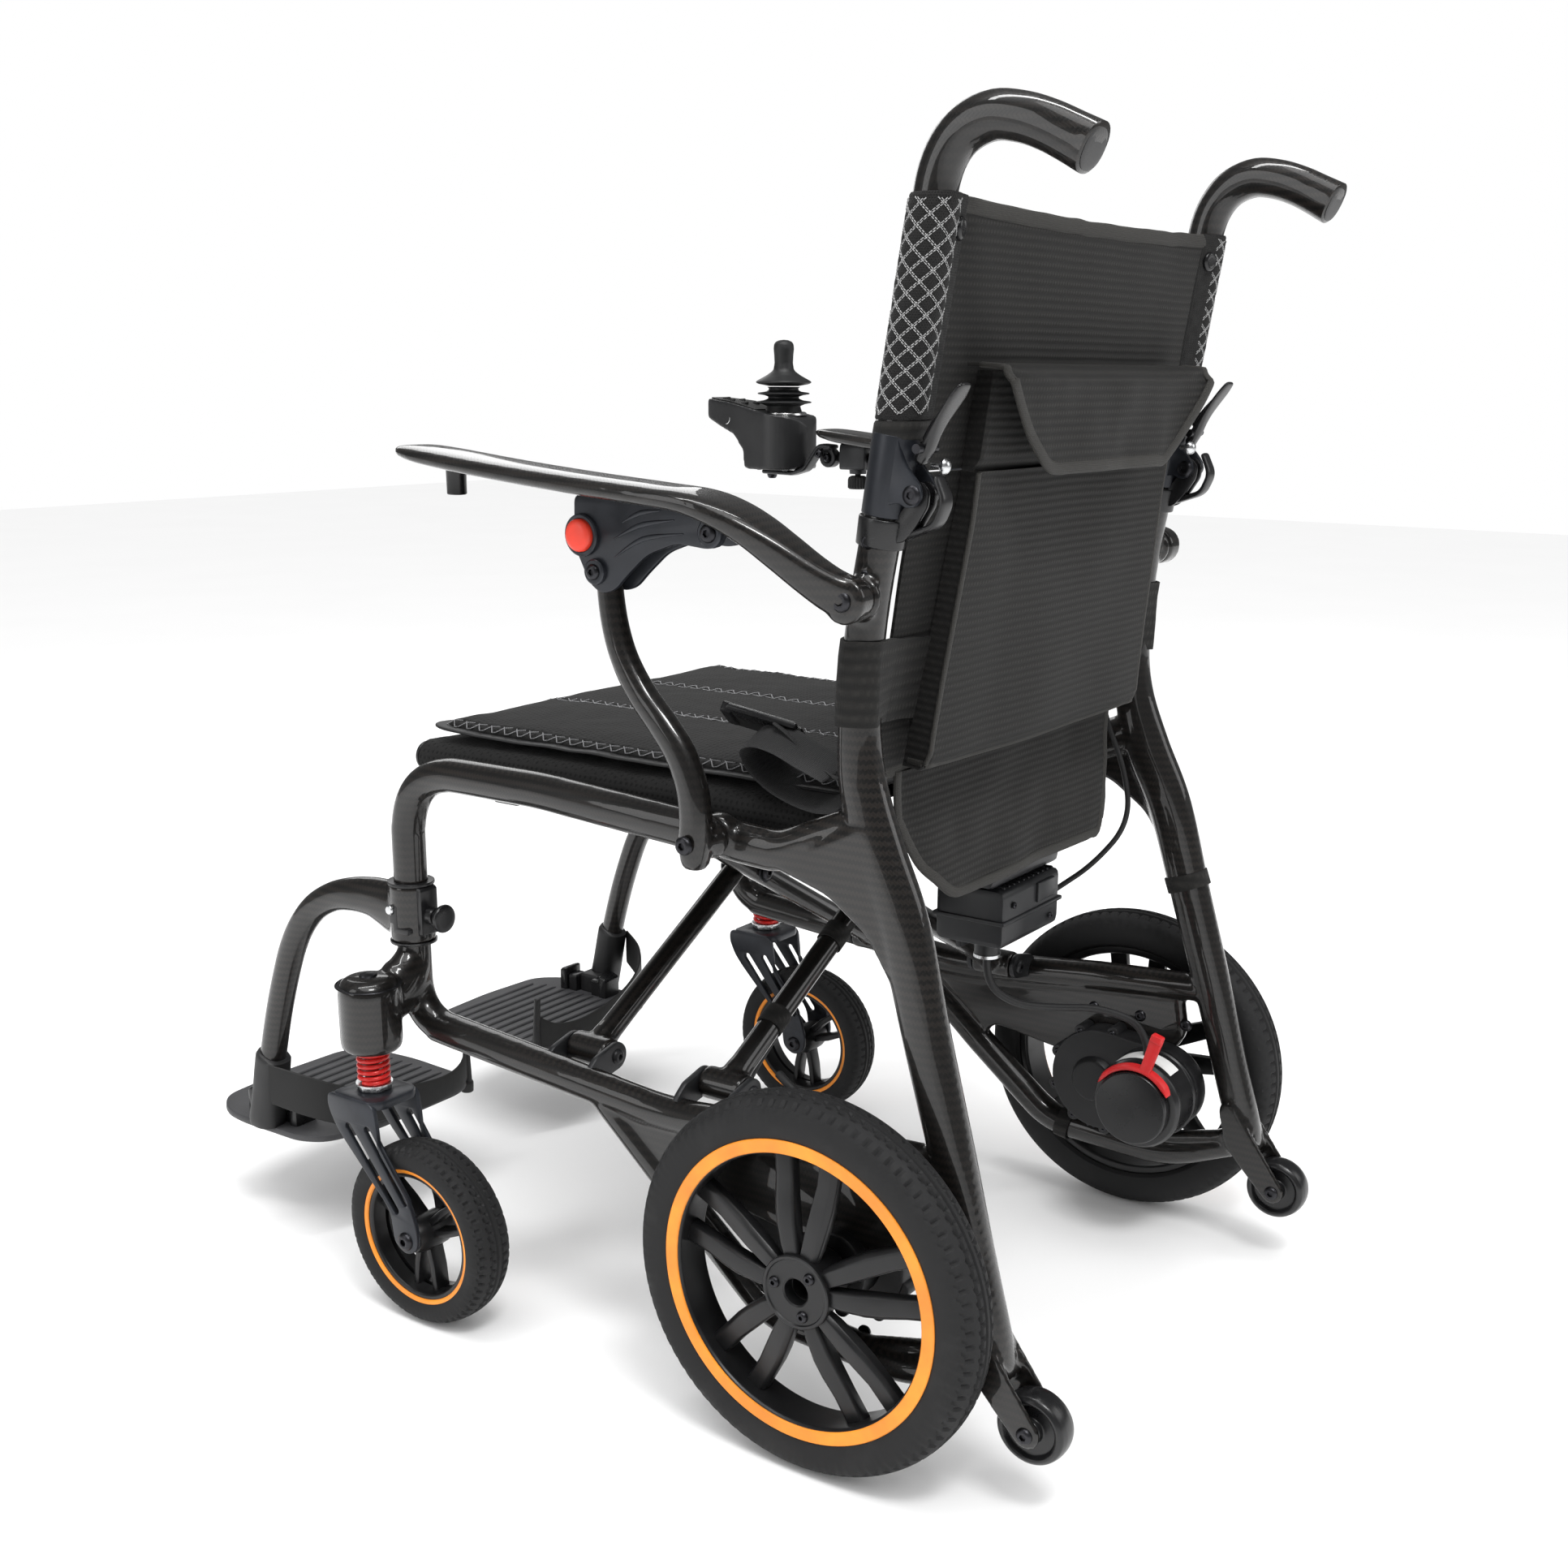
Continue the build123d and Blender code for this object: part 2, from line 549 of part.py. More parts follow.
CABLES = {
    "left_motor_cable": [
        (188, 222, 194), (188, 222, 218), (194, 216, 244), (206, 206, 262), (200, 190, 268),
    ],
    "brace_cable": [
        (186, 146, 238), (176, 138.5, 247.6), (-111, 138, 410.1), (-124, 148, 418),
    ],
    "right_motor_cable": [
        (-70, 226, 300), (-70, 226, 276), (-90, 244, 254), (-128, 266, 244),
        (-164, 296, 240), (-188, 332, 222), (-188, 334, 194),
    ],
    "joystick_cable": [
        (-152, 240, 340), (-176, 240, 342), (-192, 268, 366), (-200, 298, 408), (-205, 288, 456),
        (-206, 262, 506), (-207, 257, 560), (-209, 262, 612), (-222, 263, 646), (-241, 268, 662),
    ],
}
CABLE_R = {"left_motor_cable": 3.5, "brace_cable": 3.5, "right_motor_cable": 3.5, "joystick_cable": 2.5}

parts = {}
for side, sign in (("left", 1), ("right", -1)):
    pieces = {
        "side_frame": side_frame(-STAGGER * sign),
        "back_hinge": back_hinge(),
        "back_tube": back_tube(),
        "back_lever": back_lever(),
        "armrest": armrest(),
        "armrest_bracket": armrest_bracket(),
        "armrest_button": armrest_button(),
        "armrest_post": armrest_post(),
        "caster_stem": caster_stem(),
        "caster_fork": caster_fork(),
        "caster_spring": caster_spring(),
        "caster_tyre": tyre((CASTER_X, STEER_Y + TRAIL, CASTER_R), CASTER_R, CASTER_RIM_R, CASTER_W),
        "caster_rim": caster_rim(),
        "foot_hanger": foot_hanger(),
        "hanger_knob": hanger_knob(),
        "footplate": footplate(),
        "drive_motor": drive_motor(MOTOR_Y[side]),
        "brake_lever": brake_lever(MOTOR_Y[side]),
        "drive_tyre": tyre((DRIVE_X, DRIVE_Y, DRIVE_R), DRIVE_R, RIM_R, TYRE_W),
        "drive_rim": drive_rim(),
        "antitip_wheel": antitip_wheel(),
    }
    for name, piece in pieces.items():
        parts[f"{side}_{name}"] = piece if sign > 0 else mirror(piece, about=Plane.YZ)

boss, thread = accessory_boss()
parts["left_armrest"] = parts["left_armrest"] + boss - thread
clamp, slots = arm_clamp()
parts["right_armrest"] = parts["right_armrest"] + clamp - slots
parts["left_cross_brace"] = left_brace()
parts["right_cross_brace"] = right_brace()
parts["cross_bolts"] = cross_bolts()
parts["seat_sling"] = cushion((-208, 208), (-178, 250), (491.6, 495), 1.2)
parts["seat_cushion"] = cushion((-202, 202), (-176, 254), (495.3, 513), 6)
parts["back_sling_upper"] = back_panel(738, 912, 208, 6, 5)
parts["back_sling_lower"] = back_panel(430, 733, 200, 4, 5)
parts["back_pocket"] = back_panel(522, 732, 172, 11, 20)
parts["battery"] = battery()
parts["control_box"] = control_box()
parts["joystick_housing"] = joystick_housing()
parts["joystick_boot"] = joystick_boot()
parts["joystick_stick"] = joystick_stick()
parts["joystick_arm"] = joystick_arm()
parts["thumb_screw"] = thumb_screw()
cables = {}
for name, route in CABLES.items():
    cables[name], length = cable(route, CABLE_R[name])
    ideal = pi * CABLE_R[name] ** 2 * length
    print(name, "length", round(length, 1), "volume ratio", round(cables[name].volume / ideal, 4))
parts["left_motor_cable"] = cables["left_motor_cable"]
parts["brace_cable"] = cables["brace_cable"]
parts["harness_cables"] = Compound(children=[cables["right_motor_cable"], cables["joystick_cable"]])

os.makedirs("parts", exist_ok=True)
for name, piece in parts.items():
    export_step(piece, f"parts/{name}.step")
print(len(parts), "nodes")
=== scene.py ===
import json
from math import atan2, ceil, cos, hypot, pi, radians, sin, sqrt, tan

import bmesh
import bpy
from mathutils import Matrix, Vector, noise


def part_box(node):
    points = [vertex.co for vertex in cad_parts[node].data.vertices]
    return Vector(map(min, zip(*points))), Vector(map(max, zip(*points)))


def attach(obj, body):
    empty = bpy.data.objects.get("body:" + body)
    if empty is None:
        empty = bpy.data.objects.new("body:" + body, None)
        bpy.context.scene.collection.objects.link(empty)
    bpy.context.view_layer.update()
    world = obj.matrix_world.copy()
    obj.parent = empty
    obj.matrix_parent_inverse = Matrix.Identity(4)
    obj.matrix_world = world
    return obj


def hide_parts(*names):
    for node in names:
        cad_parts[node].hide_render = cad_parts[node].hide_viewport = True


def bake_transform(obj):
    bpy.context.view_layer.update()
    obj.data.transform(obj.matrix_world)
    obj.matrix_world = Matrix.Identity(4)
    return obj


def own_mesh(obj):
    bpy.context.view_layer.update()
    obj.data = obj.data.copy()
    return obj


# Folding carbon-framed power wheelchair. Lengths are in millimetres until a mesh is made.
# +X is the chair's left, -Y its front, +Z up. Pieces of the left side are mirrored for the right.

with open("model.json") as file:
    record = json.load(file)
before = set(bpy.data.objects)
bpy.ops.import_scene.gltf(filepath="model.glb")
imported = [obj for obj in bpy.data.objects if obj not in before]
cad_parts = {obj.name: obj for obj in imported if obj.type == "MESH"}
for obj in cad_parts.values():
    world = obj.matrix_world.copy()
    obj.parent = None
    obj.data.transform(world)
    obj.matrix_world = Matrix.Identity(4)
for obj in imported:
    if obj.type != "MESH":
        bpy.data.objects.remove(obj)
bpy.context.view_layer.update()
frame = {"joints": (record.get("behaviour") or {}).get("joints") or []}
MM = 0.001


def low_high(node):
    """Lowest and highest corners of a CAD node, in millimetres."""
    low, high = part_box(node)
    return low / MM, high / MM


# ---------------------------------------------------------------- places taken from the frame
tyre_low, tyre_high = low_high("left_drive_tyre")
DRIVE = (tyre_low + tyre_high) / 2
DRIVE_R = (tyre_high.z - tyre_low.z) / 2
caster_low, caster_high = low_high("left_caster_tyre")
CASTER = (caster_low + caster_high) / 2
CASTER_R = (caster_high.z - caster_low.z) / 2
tail_low, tail_high = low_high("left_antitip_wheel")
TAIL = (tail_low + tail_high) / 2
JOINT = {j["name"]: Vector(j["pos_m"]) / MM for j in frame["joints"] if "pos_m" in j}
STEER = JOINT["left_caster_swivel"]
ARM_HUB = JOINT["left_arm_lift"]
STRUT_HUB = JOINT["left_strut_swing"]
BACK_HUB = JOINT["left_back_fold"]
LEVER_HUB = JOINT["left_lever_pull"]
STICK = JOINT["joystick_side"]
BACK_LEAN = 43 / 281
LEG_X = 244.0


def back_y(z):
    return 295.6 + (z - 716) * BACK_LEAN


# ---------------------------------------------------------------- mesh building
def spline(points, spacing):
    """Points along a smooth curve through the given ones, with every extra value carried along."""
    out = []
    count = len(points)
    for i in range(count - 1):
        p0, p1 = points[max(i - 1, 0)], points[i]
        p2, p3 = points[i + 1], points[min(i + 2, count - 1)]
        span = sqrt(sum((b - a) ** 2 for a, b in zip(p1[:3], p2[:3])))
        steps = max(1, int(ceil(span / spacing)))
        for k in range(steps):
            t = k / steps
            row = []
            for a, b, c, d in zip(p0, p1, p2, p3):
                m1, m2 = (c - a) / 2, (d - b) / 2
                t2, t3 = t * t, t * t * t
                row.append((2 * t3 - 3 * t2 + 1) * b + (t3 - 2 * t2 + t) * m1 + (3 * t2 - 2 * t3) * c + (t3 - t2) * m2)
            out.append(row)
    out.append(list(points[-1]))
    return out


def sweep(points, spacing=6.0, sides=24, side=(1, 0, 0), power=2.0, caps=0.35):
    """A bar along (x, y, z, half width, half height) points. Half width lies along side."""
    rows = spline(points, spacing)
    spots = [Vector(r[:3]) for r in rows]
    verts, faces = [], []
    rings = []
    last = len(spots) - 1
    for i, spot in enumerate(spots):
        ahead = (spots[min(i + 1, last)] - spots[max(i - 1, 0)]).normalized()
        across = Vector(side) - ahead * ahead.dot(Vector(side))
        across.normalize()
        upward = ahead.cross(across)
        rings.append((spot, ahead, across, upward, rows[i][3], rows[i][4]))
    if caps:
        first, final = rings[0], rings[-1]
        rings = (
            [(first[0] - first[1] * first[4] * caps * h, *first[1:4], first[4] * s,
            first[5] * s) for h, s in ((1, 0.35), (0.85, 0.7), (0.45, 0.92))]
            + rings
            + [(final[0] + final[1] * final[4] * caps * h, *final[1:4], final[4] * s,
                final[5] * s) for h, s in ((0.45, 0.92), (0.85, 0.7), (1, 0.35))]
        )
    for spot, ahead, across, upward, wide, high in rings:
        for k in range(sides):
            a = 2 * pi * k / sides
            c, s = cos(a), sin(a)
            u = abs(c) ** (2 / power) * (1 if c >= 0 else -1)
            v = abs(s) ** (2 / power) * (1 if s >= 0 else -1)
            verts.append(spot + across * wide * u + upward * high * v)
    for i in range(len(rings) - 1):
        for k in range(sides):
            n = (k + 1) % sides
            faces.append((i * sides + k, i * sides + n, (i + 1) * sides + n, (i + 1) * sides + k))
    faces.append(tuple(range(sides - 1, -1, -1)))
    faces.append(tuple(range((len(rings) - 1) * sides, len(rings) * sides)))
    return verts, faces


AXES = {"X": (Vector((1, 0, 0)), Vector((0, 1, 0)), Vector((0, 0, 1))),
        "Y": (Vector((0, 1, 0)), Vector((0, 0, 1)), Vector((1, 0, 0))),
        "Z": (Vector((0, 0, 1)), Vector((1, 0, 0)), Vector((0, 1, 0)))}


def lathe(profile, centre, axis="X", steps=96, shape=None):
    """A turned form from (along, radius) points. shape(along, radius, angle) may move each point."""
    if isinstance(axis, str):
        along, u, v = AXES[axis]
    else:
        along = Vector(axis).normalized()
        u = along.orthogonal().normalized()
        v = along.cross(u)
    centre = Vector(centre)
    verts, faces, rows = [], [], []
    for a, r in profile:
        if r <= 0:
            rows.append([len(verts)] * steps)
            verts.append(centre + along * a)
            continue
        row = []
        for k in range(steps):
            angle = 2 * pi * k / steps
            aa, rr = (a, r) if shape is None else shape(a, r, angle)
            row.append(len(verts))
            verts.append(centre + along * aa + u * rr * cos(angle) + v * rr * sin(angle))
        rows.append(row)
    closed = profile[0][1] > 0 and profile[-1][1] > 0
    pairs = list(zip(rows, rows[1:])) + ([(rows[-1], rows[0])] if closed else [])
    for low, high in pairs:
        for k in range(steps):
            n = (k + 1) % steps
            face = []
            for index in (low[k], low[n], high[n], high[k]):
                if index not in face:
                    face.append(index)
            if len(face) > 2:
                faces.append(tuple(face))
    return verts, faces


def round_profile(points, radius, steps=3):
    """Rounds the corners of a (along, radius) profile, ends excepted."""
    out = [points[0]]
    for before, corner, after in zip(points, points[1:], points[2:]):
        a, b = Vector(before) - Vector(corner), Vector(after) - Vector(corner)
        reach = min(radius, a.length * 0.45, b.length * 0.45)
        start, end = Vector(corner) + a.normalized() * reach, Vector(corner) + b.normalized() * reach
        for k in range(steps + 1):
            t = k / steps
            spot = start * (1 - t) ** 2 + Vector(corner) * 2 * t * (1 - t) + end * t * t
            out.append(tuple(spot))
    out.append(points[-1])
    return out


def rounded(points, radius, steps=4):
    """A closed outline with its corners rounded."""
    count = len(points)
    looped = [points[-1]] + list(points) + [points[0]]
    out = []
    for i in range(1, count + 1):
        out += round_profile(looped[i - 1 : i + 2], radius, steps)[1:-1]
    return out


def hull(circles, steps=28):
    """The outline drawn tightly round circles of (u, v, radius)."""
    dots = sorted({(u + r * cos(2 * pi * k / steps),
        v + r * sin(2 * pi * k / steps)) for u, v, r in circles for k in range(steps)})

    def half(sequence):
        chain = []
        for p in sequence:
            while len(chain) > 1:
                (ax, ay), (bx, by) = chain[-2], chain[-1]
                if (bx - ax) * (p[1] - ay) - (by - ay) * (p[0] - ax) > 0:
                    break
                chain.pop()
            chain.append(p)
        return chain[:-1]

    return half(dots) + half(dots[::-1])


def circle(u, v, radius, steps=24):
    return [(u + radius * cos(2 * pi * k / steps),
        v + radius * sin(2 * pi * k / steps)) for k in range(steps)]


def slab(outline, span, holes=(), axis="X", bevel=0.8):
    """A plate across an axis from a closed outline, with holes and softened edges."""
    data = bpy.data.curves.new("slab", "CURVE")
    data.dimensions = "2D"
    data.fill_mode = "BOTH"
    thick = abs(span[1] - span[0])
    bevel = min(bevel, thick * 0.45)
    data.extrude = thick / 2 - bevel
    data.bevel_depth = bevel
    data.bevel_resolution = 1
    data.offset = -bevel
    for line in (outline, *holes):
        poly = data.splines.new("POLY")
        poly.points.add(len(line) - 1)
        for point, (u, v) in zip(poly.points, line):
            point.co = (u, v, 0, 1)
        poly.use_cyclic_u = True
    holder = bpy.data.objects.new("slab", data)
    bpy.context.scene.collection.objects.link(holder)
    mesh = bpy.data.meshes.new_from_object(holder.evaluated_get(bpy.context.evaluated_depsgraph_get()))
    middle = (span[0] + span[1]) / 2
    along, u, v = AXES[axis]
    verts = [along * (p.co.z + middle) + u * p.co.x + v * p.co.y for p in mesh.vertices]
    faces = [tuple(p.vertices) for p in mesh.polygons]
    bpy.data.objects.remove(holder)
    bpy.data.meshes.remove(mesh)
    return verts, faces


def brick(x, y, z, bevel=1.2):
    return slab(rounded([(y[0], z[0]), (y[1], z[0]), (y[1], z[1]), (y[0], z[1])], bevel * 1.5, 3), x,
        bevel=bevel)


def moved(part, matrix):
    return [matrix @ Vector(v) for v in part[0]], part[1]


def bolt(centre, axis, radius=5.0, height=3.0):
    """Button head with a hexagon socket. The axis points out of the head."""
    socket = radius * 0.42

    def hexagon(a, r, angle):
        if r > socket * 1.01:
            return a, r
        sector = (angle + pi / 6) % (pi / 3) - pi / 6
        return a, r * cos(pi / 6) / cos(sector)

    profile = [(-0.5, radius), (height * 0.3, radius), (height * 0.75, radius * 0.86),
        (height, radius * 0.62)]
    profile += [(height, socket * 1.02), (height * 0.95, socket), (height * 0.35, socket),
        (height * 0.3, 0)]
    return lathe(profile, centre, axis, 36, hexagon)


def make(name, parts, material, body=None, replaces=(), smooth=True, sharp=35.0, mirror=False):
    """One object from (vertices, faces) parts in millimetres."""
    verts, faces = [], []
    for part_verts, part_faces in parts:
        base = len(verts)
        verts += [Vector(v) for v in part_verts]
        faces += [tuple(i + base for i in f) for f in part_faces]
    if mirror:
        verts = [Vector((-v.x, v.y, v.z)) for v in verts]
    mesh = bpy.data.meshes.new(name)
    mesh.from_pydata([v * MM for v in verts], [], faces)
    tidy = bmesh.new()
    tidy.from_mesh(mesh)
    bmesh.ops.remove_doubles(tidy, verts=tidy.verts, dist=1e-6)
    bmesh.ops.recalc_face_normals(tidy, faces=tidy.faces)
    tidy.to_mesh(mesh)
    tidy.free()
    obj = bpy.data.objects.new(name, mesh)
    bpy.context.scene.collection.objects.link(obj)
    mesh.materials.append(material)
    if smooth:
        mesh.shade_smooth()
        mesh.set_sharp_from_angle(angle=radians(sharp))
    settle(obj, body, replaces)
    return obj


def settle(obj, body, replaces=()):
    if body:
        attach(obj, body)
    if replaces:
        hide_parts(*replaces)


def baked(obj):
    """Replaces an object's mesh by what its modifiers make of it."""
    mesh = bpy.data.meshes.new_from_object(obj.evaluated_get(bpy.context.evaluated_depsgraph_get()))
    obj.modifiers.clear()
    old = obj.data
    obj.data = mesh
    bpy.data.meshes.remove(old)
    return obj


def fused(name, parts, material, voxel=2.2, rounds=6, **where):
    """Parts melted into one skin with soft fillets where they meet."""
    mirror = where.pop("mirror", False)
    obj = make(name, parts, material, mirror=mirror)
    remesh = obj.modifiers.new("skin", "REMESH")
    remesh.mode = "VOXEL"
    remesh.voxel_size = voxel * MM
    soften = obj.modifiers.new("soften", "SMOOTH")
    soften.factor = 0.6
    soften.iterations = rounds
    baked(obj)
    obj.data.materials.clear()
    obj.data.materials.append(material)
    obj.data.shade_smooth()
    settle(obj, where.get("body"), where.get("replaces", ()))
    return obj


# ---------------------------------------------------------------- materials
class Paint:
    """A node material built by short calls."""

    def __init__(self, name, **values):
        self.material = bpy.data.materials.new(name)
        self.material.use_nodes = True
        self.nodes = self.material.node_tree.nodes
        self.links = self.material.node_tree.links
        self.shader = self.nodes["Principled BSDF"]
        self.place = self.add("TexCoord", out="Object")
        self.set(**values)

    def add(self, kind, *values, out=0, **settings):
        node = self.nodes.new("ShaderNode" + kind)
        for key, value in settings.items():
            setattr(node, key, value)
        for index, value in enumerate(values):
            if value is not None:
                self.put(node.inputs[index], value)
        return node.outputs[out]

    def put(self, socket, value):
        if isinstance(value, bpy.types.NodeSocket):
            self.links.new(value, socket)
        else:
            socket.default_value = value

    def set(self, **values):
        for key, value in values.items():
            self.put(self.shader.inputs[key.replace("_", " ")], value)

    def math(self, operation, a, b=0.0, c=0.0):
        return self.add("Math", a, b, c, operation=operation)

    def noise(self, scale, detail=3.0, rough=0.55, place=None):
        node = self.nodes.new("ShaderNodeTexNoise")
        self.put(node.inputs["Vector"], place or self.place)
        node.inputs["Scale"].default_value = scale
        node.inputs["Detail"].default_value = detail
        node.inputs["Roughness"].default_value = rough
        return node.outputs[0]

    def cells(self, scale, out="Distance", place=None):
        node = self.nodes.new("ShaderNodeTexVoronoi")
        self.put(node.inputs["Vector"], place or self.place)
        node.inputs["Scale"].default_value = scale
        return node.outputs[out]

    def ramp(self, value, low, high, start=0.0, end=1.0):
        node = self.nodes.new("ShaderNodeMapRange")
        self.put(node.inputs["Value"], value)
        for key, number in (("From Min", start), ("From Max", end), ("To Min", low), ("To Max", high)):
            self.put(node.inputs[key], number)
        return node.outputs[0]

    def mix(self, factor, a, b):
        node = self.nodes.new("ShaderNodeMix")
        node.data_type = "RGBA"
        self.put(node.inputs[0], factor)
        self.put(node.inputs[6], (*a, 1) if isinstance(a, tuple) else a)
        self.put(node.inputs[7], (*b, 1) if isinstance(b, tuple) else b)
        return node.outputs[2]

    def bump(self, height, distance, strength=1.0):
        node = self.nodes.new("ShaderNodeBump")
        node.inputs["Strength"].default_value = strength
        node.inputs["Distance"].default_value = distance * MM
        self.put(node.inputs["Height"], height)
        self.set(Normal=node.outputs[0])

    def split(self, vector):
        node = self.nodes.new("ShaderNodeSeparateXYZ")
        self.put(node.inputs[0], vector)
        return node.outputs

    def join(self, x, y, z=0.0):
        return self.add("CombineXYZ", x, y, z)


def dominant_plane(paint):
    """Two coordinates that lie on the surface, from whichever axis the surface faces most."""
    x, y, z = paint.split(paint.place)
    facing = paint.add("TexCoord", out="Normal")
    nx, ny, nz = (paint.math("ABSOLUTE", n) for n in paint.split(facing))
    to_x = paint.math("GREATER_THAN", nx, paint.math("MAXIMUM", ny, nz))
    to_z = paint.math("GREATER_THAN", nz, ny)

    def choose(first, second, third):
        inner = paint.math("ADD", paint.math("MULTIPLY", to_z, second),
            paint.math("MULTIPLY", paint.math("SUBTRACT", 1.0, to_z), third))
        outer = paint.math("MULTIPLY", paint.math("SUBTRACT", 1.0, to_x), inner)
        return paint.math("ADD", paint.math("MULTIPLY", to_x, first), outer)

    return choose(y, x, x), choose(z, y, z)


def carbon(name, tow=2.3):
    """Clear coated two by two twill."""
    paint = Paint(name, Coat_Weight=1.0, Coat_Roughness=0.035, Coat_IOR=1.4, Specular_IOR_Level=0.25)
    u, v = dominant_plane(paint)
    a = paint.math("MULTIPLY", paint.math("ADD", u, v), 0.7071 / (tow * MM))
    b = paint.math("MULTIPLY", paint.math("SUBTRACT", u, v), 0.7071 / (tow * MM))
    step = paint.math("SUBTRACT", paint.math("FLOOR", a), paint.math("FLOOR", b))
    warp = paint.math("LESS_THAN", paint.math("FLOORED_MODULO", step, 4.0), 1.5)
    across = paint.math("ADD", paint.math("MULTIPLY", warp, a),
        paint.math("MULTIPLY", paint.math("SUBTRACT", 1.0, warp), b))
    along = paint.math("ADD", paint.math("MULTIPLY", warp, b),
        paint.math("MULTIPLY", paint.math("SUBTRACT", 1.0, warp), a))
    crown = paint.math("SINE", paint.math("MULTIPLY", paint.math("FRACT", across), pi))
    fibres = paint.noise(1.0, 2.0, 0.6, paint.join(paint.math("MULTIPLY", across, 7.0),
        paint.math("MULTIPLY", along, 0.35)))
    cloud = paint.noise(9.0, 2.0)
    # Warp tows are painted lighter than weft tows, more so under a cloud: a painted highlight standing in for the
    # tows' directional sheen.
    light = paint.math("MULTIPLY", warp, paint.ramp(cloud, 0.35, 1.0, 0.35, 0.65))
    shade = paint.mix(light, (0.003, 0.003, 0.003), (0.0125, 0.0102, 0.0088))
    tint = paint.mix(paint.ramp(fibres, 0.0, 0.4, 0.35, 0.75), shade, (0.013, 0.0105, 0.009))
    paint.set(Base_Color=tint, Roughness=paint.ramp(crown, 0.52, 0.3))
    paint.bump(paint.math("ADD", crown, paint.math("MULTIPLY", fibres, 0.3)), 0.05, 0.35)
    return paint.material


def coated_metal(name, colour, rough=0.38, metallic=0.35, wear=0.5):
    """Powder coat: fine orange peel, thinner and brighter on edges."""
    paint = Paint(name, Metallic=metallic, Specular_IOR_Level=0.5)
    peel = paint.noise(900.0, 3.0)
    cloud = paint.noise(40.0, 4.0)
    edge = paint.add("NewGeometry", out="Pointiness")
    worn = paint.math("MULTIPLY", paint.ramp(edge, 0.0, wear, 0.53, 0.6),
        paint.ramp(cloud, 0.2, 1.0, 0.4, 0.6))
    bright = tuple(min(1.0, c * 3.0 + 0.03) for c in colour)
    body = paint.mix(paint.ramp(cloud, 0.0, 1.0, 0.3, 0.7), tuple(c * 0.85 for c in colour),
        tuple(c * 1.2 for c in colour))
    paint.set(Base_Color=paint.mix(worn, body, bright),
        Roughness=paint.ramp(cloud, rough - 0.06, rough + 0.08, 0.3, 0.7))
    paint.bump(peel, 0.04, 0.5)
    return paint.material


def plastic(name, colour, rough=0.45, grain=0.06, scale=650.0):
    """Moulded plastic with a fine spark-eroded grain."""
    paint = Paint(name, Specular_IOR_Level=0.5)
    cloud = paint.noise(30.0, 4.0)
    grains = paint.cells(scale)
    body = paint.mix(paint.ramp(cloud, 0.0, 1.0, 0.3, 0.7), tuple(c * 0.8 for c in colour),
        tuple(c * 1.15 for c in colour))
    paint.set(Base_Color=body, Roughness=paint.ramp(cloud, rough - 0.05, rough + 0.07, 0.3, 0.7))
    paint.bump(grains, grain, 0.6)
    return paint.material


def rubber(name, colour, rough=0.72):
    """Rubber with mould bloom and faint dust."""
    paint = Paint(name, Specular_IOR_Level=0.4)
    fine = paint.noise(500.0, 4.0, 0.65)
    cloud = paint.noise(22.0, 5.0, 0.6)
    dusty = paint.ramp(cloud, 0.0, 0.45, 0.5, 0.75)
    paint.set(Base_Color=paint.mix(dusty, colour, tuple(c * 1.9 + 0.006 for c in colour)),
        Roughness=paint.ramp(cloud, rough - 0.1, rough + 0.12, 0.3, 0.7))
    paint.bump(fine, 0.12, 0.5)
    return paint.material


def bare_metal(name, colour, rough=0.25):
    """Plated metal with fine drawn lines and slight clouding."""
    paint = Paint(name, Metallic=1.0)
    cloud = paint.noise(120.0, 4.0)
    x, y, z = paint.split(paint.place)
    lines = paint.noise(1.0, 2.0, 0.5, paint.join(paint.math("MULTIPLY", x, 300.0),
        paint.math("MULTIPLY", y, 300.0), paint.math("MULTIPLY", z, 4000.0)))
    paint.set(Base_Color=paint.mix(paint.ramp(cloud, 0.0, 1.0, 0.35, 0.65), tuple(c * 0.8 for c in colour),
        colour), Roughness=paint.ramp(lines, rough - 0.06, rough + 0.14, 0.3, 0.7))
    paint.bump(lines, 0.02, 0.3)
    return paint.material


def ribbed_cloth(name, period=5.6, lift=0.5):
    """Black webbing cloth with level ribs, each crossed by small floats."""
    paint = Paint(name, Sheen_Weight=0.04, Sheen_Roughness=0.5, Specular_IOR_Level=0.3)
    x, _, z = paint.split(paint.place)
    sway = paint.math("MULTIPLY", paint.noise(14.0, 2.0), 0.0016)
    level = paint.math("ADD", z, sway)
    rib = paint.math("SINE", paint.math("MULTIPLY", level, 2 * pi / (period * MM)))
    rib = paint.ramp(rib, 0.0, 1.0, -1.0, 1.0)
    floats = paint.math("SINE", paint.math("MULTIPLY",
        paint.math("ADD", x, paint.math("MULTIPLY",
        paint.math("FLOOR", paint.math("MULTIPLY", level, 2 / (period * MM))), 0.0011)), 2 * pi / 0.0042))
    floats = paint.ramp(floats, 0.0, 1.0, -0.2, 0.9)
    threads = paint.math("SINE", paint.math("MULTIPLY", x, 2 * pi / 0.0007))
    fuzz = paint.noise(1400.0, 2.0, 0.7)
    height = paint.math("ADD", paint.math("MULTIPLY", rib, 1.0),
        paint.math("MULTIPLY", floats, paint.math("MULTIPLY", rib, 0.3)))
    height = paint.math("ADD", height, paint.math("MULTIPLY", paint.math("ADD", threads, fuzz), 0.06))
    faded = paint.noise(6.0, 3.0)
    dark = paint.mix(paint.ramp(faded, 0.0, 1.0, 0.35, 0.65), (0.0055, 0.0053, 0.0051),
        (0.008, 0.0077, 0.0073))
    # Rib tops under the floats are painted lighter: a painted highlight where the ribs would catch light.
    lit = paint.mix(paint.math("MULTIPLY", rib, paint.ramp(floats, 0.55, 1.0)), dark,
        (0.017, 0.016, 0.0145))
    paint.set(Base_Color=lit, Roughness=paint.ramp(fuzz, 0.68, 0.95))
    paint.bump(height, lift, 0.9)
    return paint.material


